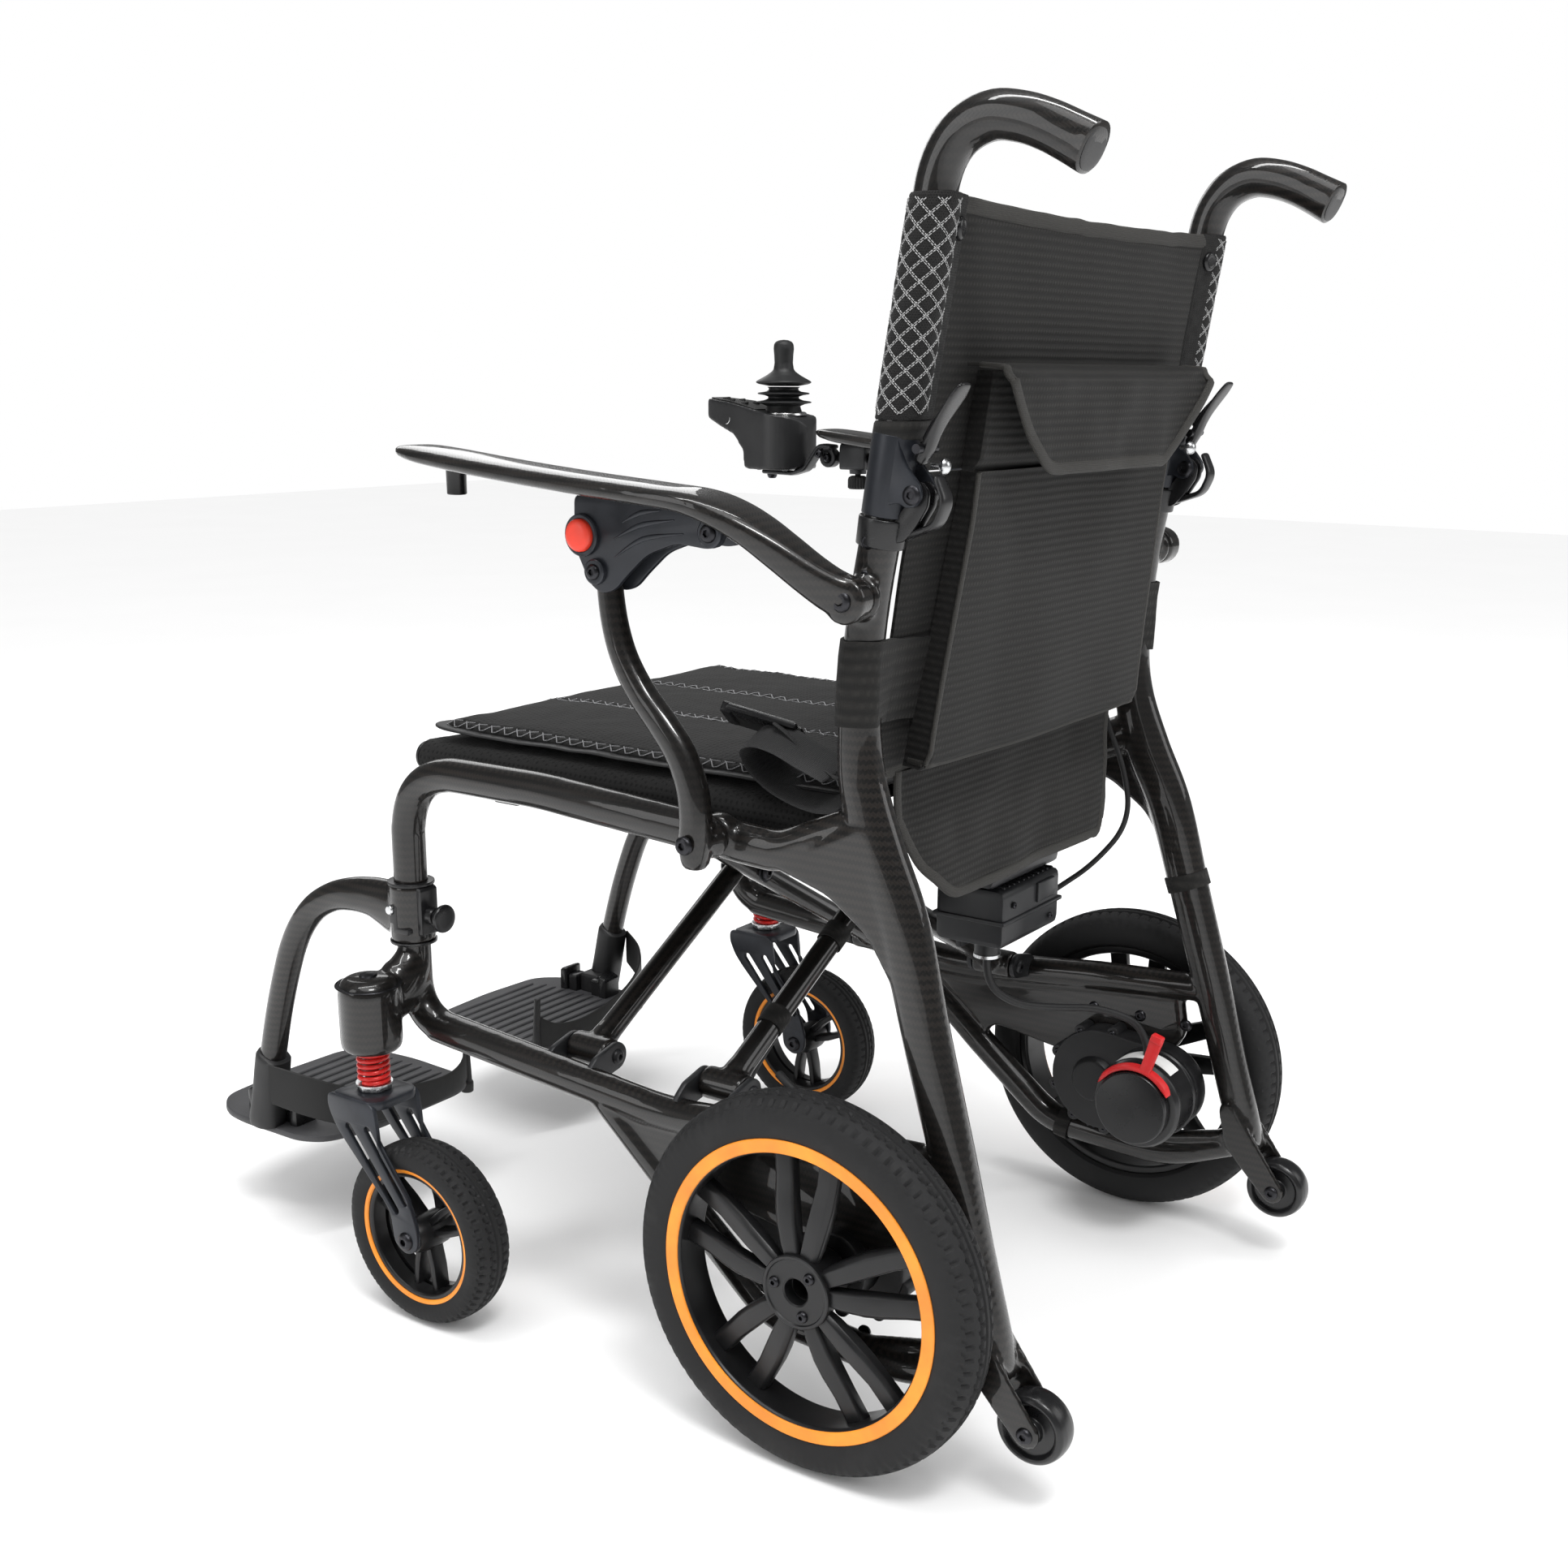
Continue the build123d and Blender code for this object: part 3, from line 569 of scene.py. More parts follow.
def dimpled_cloth(name, period=5.2):
    """Black spacer knit with rows of dimples."""
    paint = Paint(name, Sheen_Weight=0.04, Sheen_Roughness=0.45, Specular_IOR_Level=0.3)
    u, v = dominant_plane(paint)
    row = paint.math("FLOOR", paint.math("DIVIDE", v, period * MM))
    shift = paint.math("MULTIPLY", paint.math("FLOORED_MODULO", row, 2.0), 0.5)
    cu = paint.math("SUBTRACT", paint.math("FRACT",
        paint.math("ADD", paint.math("DIVIDE", u, period * MM), shift)), 0.5)
    cv = paint.math("SUBTRACT", paint.math("FRACT", paint.math("DIVIDE", v, period * MM)), 0.5)
    away = paint.math("SQRT", paint.math("ADD", paint.math("MULTIPLY", cu, cu),
        paint.math("MULTIPLY", cv, cv)))
    pit = paint.ramp(away, 0.0, 1.0, 0.1, 0.34)
    knit = paint.cells(1300.0)
    fuzz = paint.noise(900.0, 3.0)
    faded = paint.noise(7.0, 3.0)
    dark = paint.mix(paint.ramp(faded, 0.0, 1.0, 0.35, 0.65), (0.0065, 0.0065, 0.0068),
        (0.0098, 0.0095, 0.0092))
    # The dimples are painted near black: painted shade in their hollows.
    paint.set(Base_Color=paint.mix(pit, (0.0028, 0.0028, 0.0028),
        paint.mix(paint.ramp(fuzz, 0.0, 0.6, 0.4, 0.7), dark, (0.0175, 0.017, 0.016))),
        Roughness=paint.ramp(fuzz, 0.7, 0.95))
    paint.bump(paint.math("ADD", pit, paint.math("MULTIPLY", knit, 0.25)), 0.5, 0.9)
    return paint.material


def webbing(name, colour=(0.012, 0.012, 0.0125)):
    """Close woven tape."""
    paint = Paint(name, Sheen_Weight=0.04, Sheen_Roughness=0.5)
    u, v = dominant_plane(paint)
    a = paint.math("SINE", paint.math("MULTIPLY", paint.math("ADD", u, v), 2 * pi / 0.0026))
    b = paint.math("SINE", paint.math("MULTIPLY", paint.math("SUBTRACT", u, v), 2 * pi / 0.0026))
    weave = paint.math("MULTIPLY", a, b)
    fuzz = paint.noise(1200.0, 2.0)
    bright = tuple(c * 2.4 for c in colour)
    paint.set(Base_Color=paint.mix(paint.ramp(weave, 0.0, 0.6, -0.5, 1.0), colour, bright),
        Roughness=paint.ramp(fuzz, 0.6, 0.9))
    paint.bump(paint.math("ADD", weave, fuzz), 0.18, 0.8)
    return paint.material


CARBON = carbon("carbon_twill")
BLACK_METAL = coated_metal("black_powder_coat", (0.017, 0.0175, 0.019))
BLUE_METAL = coated_metal("blue_black_coat", (0.0165, 0.0185, 0.0235), 0.36, 0.35)
RIM_BLACK = coated_metal("rim_black", (0.0085, 0.0085, 0.0092), 0.36, 0.2, 0.25)
MOTOR_BLACK = coated_metal("motor_black", (0.009, 0.009, 0.0098), 0.42, 0.3)
BLACK_PLASTIC = plastic("black_plastic", (0.009, 0.009, 0.0096), 0.5)
SMOOTH_BLACK = plastic("smooth_black_plastic", (0.0085, 0.0085, 0.0092), 0.28, 0.015)
FOOT_PLASTIC = plastic("footplate_plastic", (0.045, 0.045, 0.048), 0.55, 0.1, 500.0)
RED_PLASTIC = plastic("red_plastic", (0.55, 0.012, 0.014), 0.38, 0.02)
BUTTON_RED = plastic("button_red", (0.78, 0.045, 0.02), 0.42, 0.02)
SPRING_RED = coated_metal("spring_red", (0.5, 0.012, 0.01), 0.25, 0.1, 0.2)
ORANGE = plastic("orange_trim", (0.85, 0.27, 0.018), 0.4, 0.015)
ZINC = bare_metal("zinc", (0.72, 0.73, 0.74))
DARK_STEEL = bare_metal("black_oxide_steel", (0.05, 0.05, 0.055), 0.35)
TYRE = rubber("tyre_rubber", (0.0085, 0.0085, 0.009))
SOFT_RUBBER = rubber("soft_rubber", (0.012, 0.012, 0.012), 0.6)
CABLE = rubber("cable_jacket", (0.01, 0.01, 0.0105), 0.5)
RIBBED = ribbed_cloth("ribbed_cloth")
BAND_CLOTH = ribbed_cloth("band_cloth", 9.0, 0.8)
DIMPLED = dimpled_cloth("dimpled_cloth")
WEBBING = webbing("webbing")
THREAD = webbing("grey_thread", (0.15, 0.15, 0.155))
WHITE_THREAD = webbing("white_thread", (0.25, 0.25, 0.25))
BINDING = webbing("binding_tape", (0.0135, 0.0125, 0.0105))
SEAT_BINDING = plastic("seat_binding", (0.0125, 0.0125, 0.013), 0.5, 0.05, 900.0)
SLEEVE_CLOTH = dimpled_cloth("sleeve_cloth", 1.6)
SATIN_SHELL = plastic("satin_shell", (0.0125, 0.0127, 0.0135), 0.36, 0.03, 900.0)
GLOSS_BLACK = plastic("gloss_black_panel", (0.012, 0.012, 0.012), 0.12, 0.004)
CASE_BLACK = plastic("case_black", (0.013, 0.0138, 0.0155), 0.42, 0.05, 700.0)
BOOT_RUBBER = rubber("boot_rubber", (0.011, 0.0115, 0.012), 0.5)
CHROME = bare_metal("bright_trim", (0.7, 0.7, 0.7), 0.16)
JACK_FACE = plastic("jack_face", (0.42, 0.47, 0.52), 0.25, 0.01)
LABEL = plastic("blank_label", (0.7, 0.7, 0.69), 0.35, 0.01)

SIDES = (("left", 1), ("right", -1))


def bend(points, radii, steps=8):
    """Runs joined by smooth corners of about the given radii, widths carried along."""
    rows = [list(points[0])]
    for before, corner, after, radius in zip(points, points[1:], points[2:], radii):
        b, c, a = Vector(before[:3]), Vector(corner[:3]), Vector(after[:3])
        half = (c - b).angle(a - c) / 2
        reach = min(radius * tan(half), (c - b).length * 0.48, (a - c).length * 0.48)
        into = reach / (c - b).length
        out = reach / (a - c).length
        start = [q + (p - q) * into for p, q in zip(before, corner)]
        end = [q + (p - q) * out for p, q in zip(after, corner)]
        for k in range(steps + 1):
            t = k / steps
            rows.append([s * (1 - t) ** 2 + q * 2 * t * (1 - t) + e * t * t for s, q, e in zip(start,
                corner, end)])
    rows.append(list(points[-1]))
    return rows


# ---------------------------------------------------------------- side frames
def frame_skin():
    post = sweep(
        [
            (226, back_y(707), 707, 14, 14), (227, 285, 655, 14, 14.2), (228, 280, 610, 14, 14.6),
            (228, 278, 562, 14.2, 15.5),
            (229, 282, 520, 14.8, 18), (231, 297, 474, 15.2, 20.5), (233.5, 322, 420, 15, 20),
            (237, 346, 340, 14.8, 18.5),
            (240, 370, 262, 14.6, 17.5), (242, 391, 190, 14.4, 16.5), (244, 409, 130, 15, 16),
            (244, 417, 104, 14, 13),
        ],
        sides=28, power=2.2,
    )
    loop = sweep(
        bend(
            [
                (229, 293, 492, 13, 17), (234, 215, 460, 14, 16), (238, -20, 476, 14, 15),
                (239, -172, 476, 14, 14.5),
                (239, -172, 250, 14, 14.5), (238, 110, 227, 14, 14), (240, 258, 243, 13.5, 14),
                (241, 376, 252, 13, 13),
            ],
            [60, 420, 66, 44, 320, 260],
        ),
        sides=28, power=2.2,
    )
    arm = sweep(
        bend([(238, 28, 238, 12, 12), (238, 130, 152, 13, 14), (240, 214, 84, 14, 14),
            (241, 340, 78, 14, 13.5), (244, 404, 104, 13, 12)], [110, 70, 130]),
        sides=28,
    )
    parts = [post, loop, arm]
    webs = [
        [(40, 232), (150, 236), (205, 238), (235, 236), (345, 245), (352, 205), (330, 168), (226, 160),
        (150, 172), (128, 150)],
        [(205, 452), (250, 474), (292, 496), (312, 462), (330, 410), (346, 335), (322, 372), (296, 412),
        (262, 436), (228, 446)],
        [(300, 92), (392, 116), (404, 132), (418, 104), (380, 84), (320, 76)],
    ]
    for outline in webs:
        parts.append(slab(rounded(outline, 8), (232, 246), holes=(), bevel=4))
    parts.append(sweep([(239, -172, 318, 11, 11), (247, -172, 296, 17, 24), (262, -173, 282, 19, 24),
        (280, -174, 276, 19, 23), (292, -174, 274, 17, 20)], side=(0, 1, 0), spacing=3))
    profile = [(236, 9), (236, 20), (239, 25), (244, 26.5), (290, 26.5), (297, 25), (302, 20), (303.5, 9),
        (303.6, 0)]
    parts.append(lathe(round_profile([(236, 0)] + profile, 4), (*STEER.xy, 0), "Z"))
    parts.append(lathe([(12, 0), (12, 15.5), (17.5, 15.5), (18.4, 12.6), (18.6, 0)],
        (227, ARM_HUB.y, ARM_HUB.z)))
    parts.append(lathe([(-2, 0), (-2, 17), (11, 16), (13.4, 13.5), (13.5, 0)],
        (238, STRUT_HUB.y, STRUT_HUB.z)))
    for low, high in ((LEG_X - 17.4, LEG_X - 12.4), (LEG_X + 12.4, LEG_X + 17.4)):
        outline = hull([(400, 140, 9), (412, 112, 14), (TAIL.y, TAIL.z, 11.5)])
        parts.append(slab(outline, (low, high), bevel=1.8))
    parts.append(slab(hull([(404, 134, 10), (416, 108, 13)]), (LEG_X - 16, LEG_X + 16), bevel=6))
    return parts


skin = frame_skin()
for side, sign in SIDES:
    fused(f"{side}_frame_skin", skin, CARBON, voxel=2.1, mirror=sign < 0, body=f"{side}_side",
        replaces=[f"{side}_side_frame"], slot="carbon")

for side, sign in SIDES:
    stagger = -10.6 * sign
    fittings = []
    for y in (-60, 105):
        block = [(188, 458), (236, 458), (236, 474), (206, 479), (188, 476)]
        outline = rounded([(z, x) for x, z in block], 3)
        fittings.append(slab(outline, (y - 13, y + 13), axis="Y", bevel=1.5))
        fittings.append(bolt((212, y, 458.6), (0, 0, -1), 4, 2.5))
    for y in (13, 153):
        for way in (-1, 1):
            near, far = sorted((y + stagger + way * 20.7, y + stagger + way * 26))
            fittings.append(slab(hull([(248, 205, 12), (245, 226, 10), (240, 234, 9)]), (near, far),
                axis="Y", bevel=1.2))
        for way in (-1, 1):
            fittings.append(bolt((205, y + stagger + way * 26, 248), (0, way, 0), 6.5, 3.2))
    make(f"{side}_frame_fittings", fittings, BLACK_METAL, f"{side}_side",
        mirror=sign < 0)
    bolts = [
        bolt((ARM_HUB.x + 10.2, ARM_HUB.y, ARM_HUB.z), (1, 0, 0), 7.6, 3.4),
        bolt((240.6, 290, 690), (1, 0, 0), 5.2, 2.6),
        bolt((240.6, 288, 668), (1, 0, 0), 3.2, 1.6),
        bolt((261.2, TAIL.y, TAIL.z), (1, 0, 0), 6.4, 3.2),
        bolt((LEG_X - 17.2, TAIL.y, TAIL.z), (-1, 0, 0), 6.4, 3.2),
        bolt((286, STRUT_HUB.y, STRUT_HUB.z), (1, 0, 0), 7.2, 3.4),
        lathe([(0, 0), (0, 27), (0.4, 27.5), (0.4, 28.2), (-0.2, 28.6)], (*STEER.xy, 296), "Z", 48),
        lathe([(0, 0), (0, 8), (1.6, 7.2), (2.6, 4), (2.8, 0)], (*STEER.xy, 303.2), "Z", 32),
        lathe([(16.6, 5), (16.6, 9), (13.1, 9), (13.1, 5)], TAIL, "X", 28),
        lathe([(-16.6, 5), (-16.6, 9), (-13.1, 9), (-13.1, 5)], TAIL, "X", 28),
    ]
    make(f"{side}_frame_bolts", bolts, DARK_STEEL, f"{side}_side", mirror=sign < 0)


# ---------------------------------------------------------------- wheels
def tread_tyre(centre, radius, bore, width, blocks):
    """Tyre with a square shouldered tread cut by grooves and sipes, and ribbed side walls."""
    half = width / 2
    wall = radius - bore
    profile = [(-half + 6, bore), (-half + 2.5, bore + wall * 0.08), (-half + 0.8, bore + wall * 0.22),
        (-half, bore + wall * 0.45)]
    profile += [(-half + 0.4, bore + wall * 0.6), (-half * 0.93, bore + wall * 0.72)]
    crown = []
    for k in range(-12, 13):
        t = k / 12
        crown.append((half * 0.86 * t, radius - wall * 0.2 * abs(t) ** 2.6))
    profile += crown + [(-a, r) for a, r in profile[::-1]]
    grooves = (-0.36, 0.0, 0.36)

    def cut(a, r, angle):
        t = a / (half * 0.86)
        if abs(t) > 1.001 or r < radius - wall * 0.24:
            if r > bore + wall * 0.5:
                tick = (angle * blocks * 1.5 / (2 * pi)) % 1
                return a + (0.5 if tick < 0.3 else 0) * (-1 if a > 0 else 1), r
            return a, r
        turn = angle * blocks / (2 * pi)
        zone = int((t + 1) * 3)
        depth = 0.0
        for g in grooves:
            if abs(t - g) < 0.05:
                depth = 2.4
        phase = (turn + 0.5 * (zone % 2) + 0.35 * t) % 1
        if phase < 0.16 and abs(t) > 0.1:
            depth = max(depth, 2.3)
        return a, r - depth * min(1.0, wall / 28)

    rings = 4 * blocks
    return lathe(profile, centre, "X", rings, cut)


def ring_part(points, centre, steps=128):
    return lathe(points, centre, "X", steps)


def drive_spoke(turn):
    """One pair of raised ridged spokes, from the hub to the barrel."""
    out = []
    for way in (-1, 1):
        rows = [(24, 6.5, 7.5, 16.0, 9), (34, 9.5, 8.2, 16.2, 11), (52, 13.5, 9.0, 15.0, 12),
            (66, 16.0, 9.2, 12.5, 11), (84, 18.4, 8.6, 9.0, 10), (110, 21.0, 8.8, 7.5, 11)]
        section = []
        for along, off, wide, face, deep in rows:
            ridge = way * (off + wide * 0.45)
            inner, outer = way * (off - wide), way * (off + wide)
            section.append([(face - deep, inner), (face - 3.5, inner), (face - 0.6, inner + way * 1.6),
                (face, ridge - way * 1.2), (face, ridge + way * 1.2), (face - 3.2, outer),
                (face - deep, outer)])
        verts, faces = [], []
        for (along, *_), row in zip(rows, section):
            for depth, across in row:
                verts.append((depth, along, across))
        n = 7
        for i in range(len(rows) - 1):
            for k in range(n):
                m = (k + 1) % n
                faces.append((i * n + k, i * n + m, (i + 1) * n + m, (i + 1) * n + k))
        faces.append(tuple(range(n - 1, -1, -1)))
        faces.append(tuple(range((len(rows) - 1) * n, len(rows) * n)))
        out.append((verts, faces))
    spun = []
    spin = Matrix.Translation(DRIVE) @ Matrix.Rotation(turn, 4, "X")
    for part in out:
        spun.append(moved(part, spin))
    return spun


def bevelled(obj, width, segments=2):
    edge = obj.modifiers.new("edge", "BEVEL")
    edge.width = width * MM
    edge.segments = segments
    edge.limit_method = "ANGLE"
    edge.angle_limit = radians(24)
    baked(obj)
    obj.data.shade_smooth()
    obj.data.set_sharp_from_angle(angle=radians(40))
    return obj


for side, sign in SIDES:
    wheel = f"{side}_drive_wheel"
    flip = sign < 0
    make(f"{side}_drive_tread", [tread_tyre(DRIVE, DRIVE_R, 117.0, 45.0, 88)], TYRE, wheel,
        [f"{side}_drive_tyre"], sharp=28, mirror=flip)
    barrel = [(-15, 117.2), (-16, 116), (-16, 111), (-14, 109), (10, 107.5), (17, 107), (19.5, 108.5),
        (20, 111), (20, 117.2)]
    hub = [(-21.5, 9.4), (-21.5, 21), (-19, 22), (0, 27), (9, 28), (16, 29.2), (18.6, 29.2), (19.4, 28.4),
        (19.4, 26.4), (18.4, 25.6), (18.4, 11.6), (17.4, 10.4), (8, 10.2), (8, 9.4)]
    rim = make(f"{side}_drive_wheel_rim", [ring_part(round_profile(barrel, 1), DRIVE),
        ring_part(hub, DRIVE, 96)], RIM_BLACK, wheel, [f"{side}_drive_rim"], mirror=flip)
    spokes = []
    for turn in range(5):
        spokes += drive_spoke(radians(72 * turn + 18))
    bevelled(make(f"{side}_drive_spokes", spokes, RIM_BLACK, wheel, mirror=flip), 0.8)
    trim = [(16, 108.8), (20.3, 108.8), (21.0, 109.6), (21.2, 118.6), (20.6, 119.4), (16, 119.4)]
    make(f"{side}_drive_trim_ring", [ring_part(trim, DRIVE, 144)], ORANGE, wheel,
        mirror=flip)
    heads = []
    for k in range(3):
        a = radians(120 * k + 50)
        heads.append(bolt((DRIVE.x + 18.2, DRIVE.y + 19 * cos(a), DRIVE.z + 19 * sin(a)), (1, 0, 0), 4.6,
            3))
    make(f"{side}_hub_bolts", heads, DARK_STEEL, wheel, mirror=flip)

    wheel = f"{side}_caster_wheel"
    make(f"{side}_caster_tread", [tread_tyre(CASTER, CASTER_R, 60.0, 42.0, 60)], TYRE, wheel,
        [f"{side}_caster_tyre"], sharp=28, mirror=flip)
    shape = []
    for way in (-1, 1):
        shape.append(ring_part([(way * a, r) for a, r in round_profile([(2, 60.2), (15, 60.2), (16, 58),
            (16, 55), (14.5, 53.5), (2, 52)], 1)], CASTER, 96))
        hub = [(0, 5.2), (0, 16), (12, 15.5), (18, 14), (21.4, 12.6), (21.8, 11.5), (21.8, 5.2)]
        shape.append(ring_part([(way * a, r) for a, r in hub], CASTER, 64))
    for k in range(3):
        for way in (-1, 1):
            arm = [(12, way * 1.2), (12, way * 8.5), (30, way * 12.5), (55, way * 15), (55, way * 9),
                (32, way * 6)]
            part = slab(rounded(arm if way > 0 else arm[::-1], 1.5), (-8, 8), bevel=2.0)
            shape.append(moved(part, Matrix.Translation(CASTER) @ Matrix.Rotation(radians(120 * k + 30), 4,
                "X")))
    make(f"{side}_caster_wheel_rim", shape, RIM_BLACK, wheel, [f"{side}_caster_rim"],
        mirror=flip)
    rings = []
    for way in (-1, 1):
        rings.append(ring_part([(way * a, r) for a, r in [(13, 57.8), (16.6, 57.8), (17.6, 58.8),
            (18.2, 65.0), (17.4, 66.0), (13, 66.0)]], CASTER, 120))
    make(f"{side}_caster_trim_rings", rings, ORANGE, wheel, mirror=flip)

    wheel = f"{side}_tail_wheel"
    profile = [(-11.5, 5.1), (-11.5, 9), (-7, 10), (-7, 19.5), (-11, 21.5), (-11.6, 23.5), (-9, 26.6),
        (-4, 27.8), (0, 28)]
    profile = profile + [(-a, r) for a, r in profile[-2::-1]]
    make(f"{side}_tail_roller", [ring_part(round_profile(profile, 1.2), TAIL, 72)], SMOOTH_BLACK, wheel,
        [f"{side}_antitip_wheel"], mirror=flip)


# ---------------------------------------------------------------- caster forks and king pins
for side, sign in SIDES:
    flip = sign < 0
    x, y = STEER.xy
    fork = []
    hole = circle(x, y, 8.3, 32)
    top = slab(rounded([(x - 27, y - 26), (x + 27, y - 26), (x + 27, y + 22), (x + 18, y + 30),
        (x - 18, y + 30), (x - 27, y + 22)], 7), (192, 200.6), [hole], axis="Z", bevel=2.5)
    fork.append(top)
    for low, high in ((x - 27.4, x - 22.6), (x + 22.6, x + 27.4)):
        cheek = [
            (y - 30, 199), (y - 31, 188), (y - 24, 172), (y - 12, 158), (CASTER.y - 18, 106),
            (CASTER.y - 14, 76),
            (CASTER.y, 68.5), (CASTER.y + 13, 76), (CASTER.y + 14, 92), (CASTER.y + 6, 118), (y + 30, 160),
            (y + 29, 176), (y + 26, 199),
        ]
        slots = [
            hull([(y - 6, 172, 3.6), (CASTER.y - 11, 108, 3.6)]),
            hull([(y + 17, 174, 3.4), (CASTER.y + 0, 118, 3.4)]),
        ]
        fork.append(slab(rounded(cheek, 9), (low, high), slots, bevel=1.3))
    make(f"{side}_fork_shell", fork, BLUE_METAL, f"{side}_fork", [f"{side}_caster_fork"],
        mirror=flip)
    axle = [bolt((x + 27.2, CASTER.y, CASTER.z), (1, 0, 0), 8, 4),
        bolt((x - 27.2, CASTER.y, CASTER.z), (-1, 0, 0), 8, 4)]
    axle.append(lathe([(-26, 4.8), (-26, 0), (26, 0), (26, 4.8)], CASTER, "X", 24))
    make(f"{side}_fork_axle", axle, DARK_STEEL, f"{side}_fork", mirror=flip)

    pin = [(186, 0), (186, 9.5), (187.5, 10.5), (190, 10.5), (190, 7.9), (201.3, 7.9), (201.3, 14.6),
        (203.2, 15.2), (205.2, 14.6), (205.2, 7.9), (270, 7.9), (270, 0)]

    def nut(a, r, angle):
        if 201 < a < 205.4 and r > 10:
            sector = angle % (pi / 3) - pi / 6
            return a, min(r, 13.4 / cos(sector))
        return a, r

    make(f"{side}_king_pin_shaft", [lathe(pin, (x, y, 0), "Z", 72, nut)], ZINC, f"{side}_king_pin",
        [f"{side}_caster_stem"], mirror=flip)
    washer = lathe([(205.4, 8.1), (205.4, 15.8), (207.2, 15.8), (207.2, 8.1)], (x, y, 0), "Z", 48)
    make(f"{side}_spring_washer", [washer], ZINC, f"{side}_king_pin", mirror=flip)
    coil = []
    turns, low, high = 5.4, 209.2, 234.4
    for k in range(int(turns * 28) + 1):
        t = k / (turns * 28)
        a = 2 * pi * turns * t
        z = low + (high - low) * min(1, max(0, (t * 1.16 - 0.08)))
        coil.append((x + 12.3 * cos(a), y + 12.3 * sin(a), z, 2.1, 2.1))
    wire = sweep(coil, spacing=50, sides=14, side=(0, 0, 1), caps=0.4)
    coil = make(f"{side}_spring_coil", [wire], SPRING_RED, f"{side}_king_pin", [f"{side}_caster_spring"],
        mirror=flip)
    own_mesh(coil)


# ---------------------------------------------------------------- armrests and their struts
def armrest_skin():
    plate = sweep(
        [
            (285, -99, 742.3, 14, 2.2), (285, -93, 741.3, 20, 4), (285, -84, 740, 24.5, 5.2),
            (285, -62, 737, 27.6, 6.2), (285, 0, 730, 28, 6.8),
            (285, 70, 723.5, 28, 7.2), (285, 140, 718, 28, 7.6), (284.5, 178, 714.5, 27.6, 8),
            (283, 203, 707.5, 25.4, 8.8), (279.5, 224, 697, 21.5, 10),
            (274.5, 243, 683.5, 17.5, 11.6), (268.5, 260, 670, 14.6, 12.8), (262.5, 273, 660, 12.6, 14),
            (257.5, 283, 654, 11.4, 15),
        ],
        spacing=4, sides=40, power=3.4, caps=0.1,
    )
    hub = lathe(round_profile([(-9.2, 0), (-9.2, 15.5), (8.6, 16.5), (10.4, 13), (10.6, 0)], 4), ARM_HUB)
    return [plate, hub]


def bracket_outline():
    return [
        (66, 714.5), (79, 715.6), (169, 708.6), (197, 702), (203, 694), (198, 684.5), (186, 682),
        (160, 684.5), (133, 675),
        (113, 658), (103, 648), (90, 644.5), (79, 651), (65, 678),
    ]


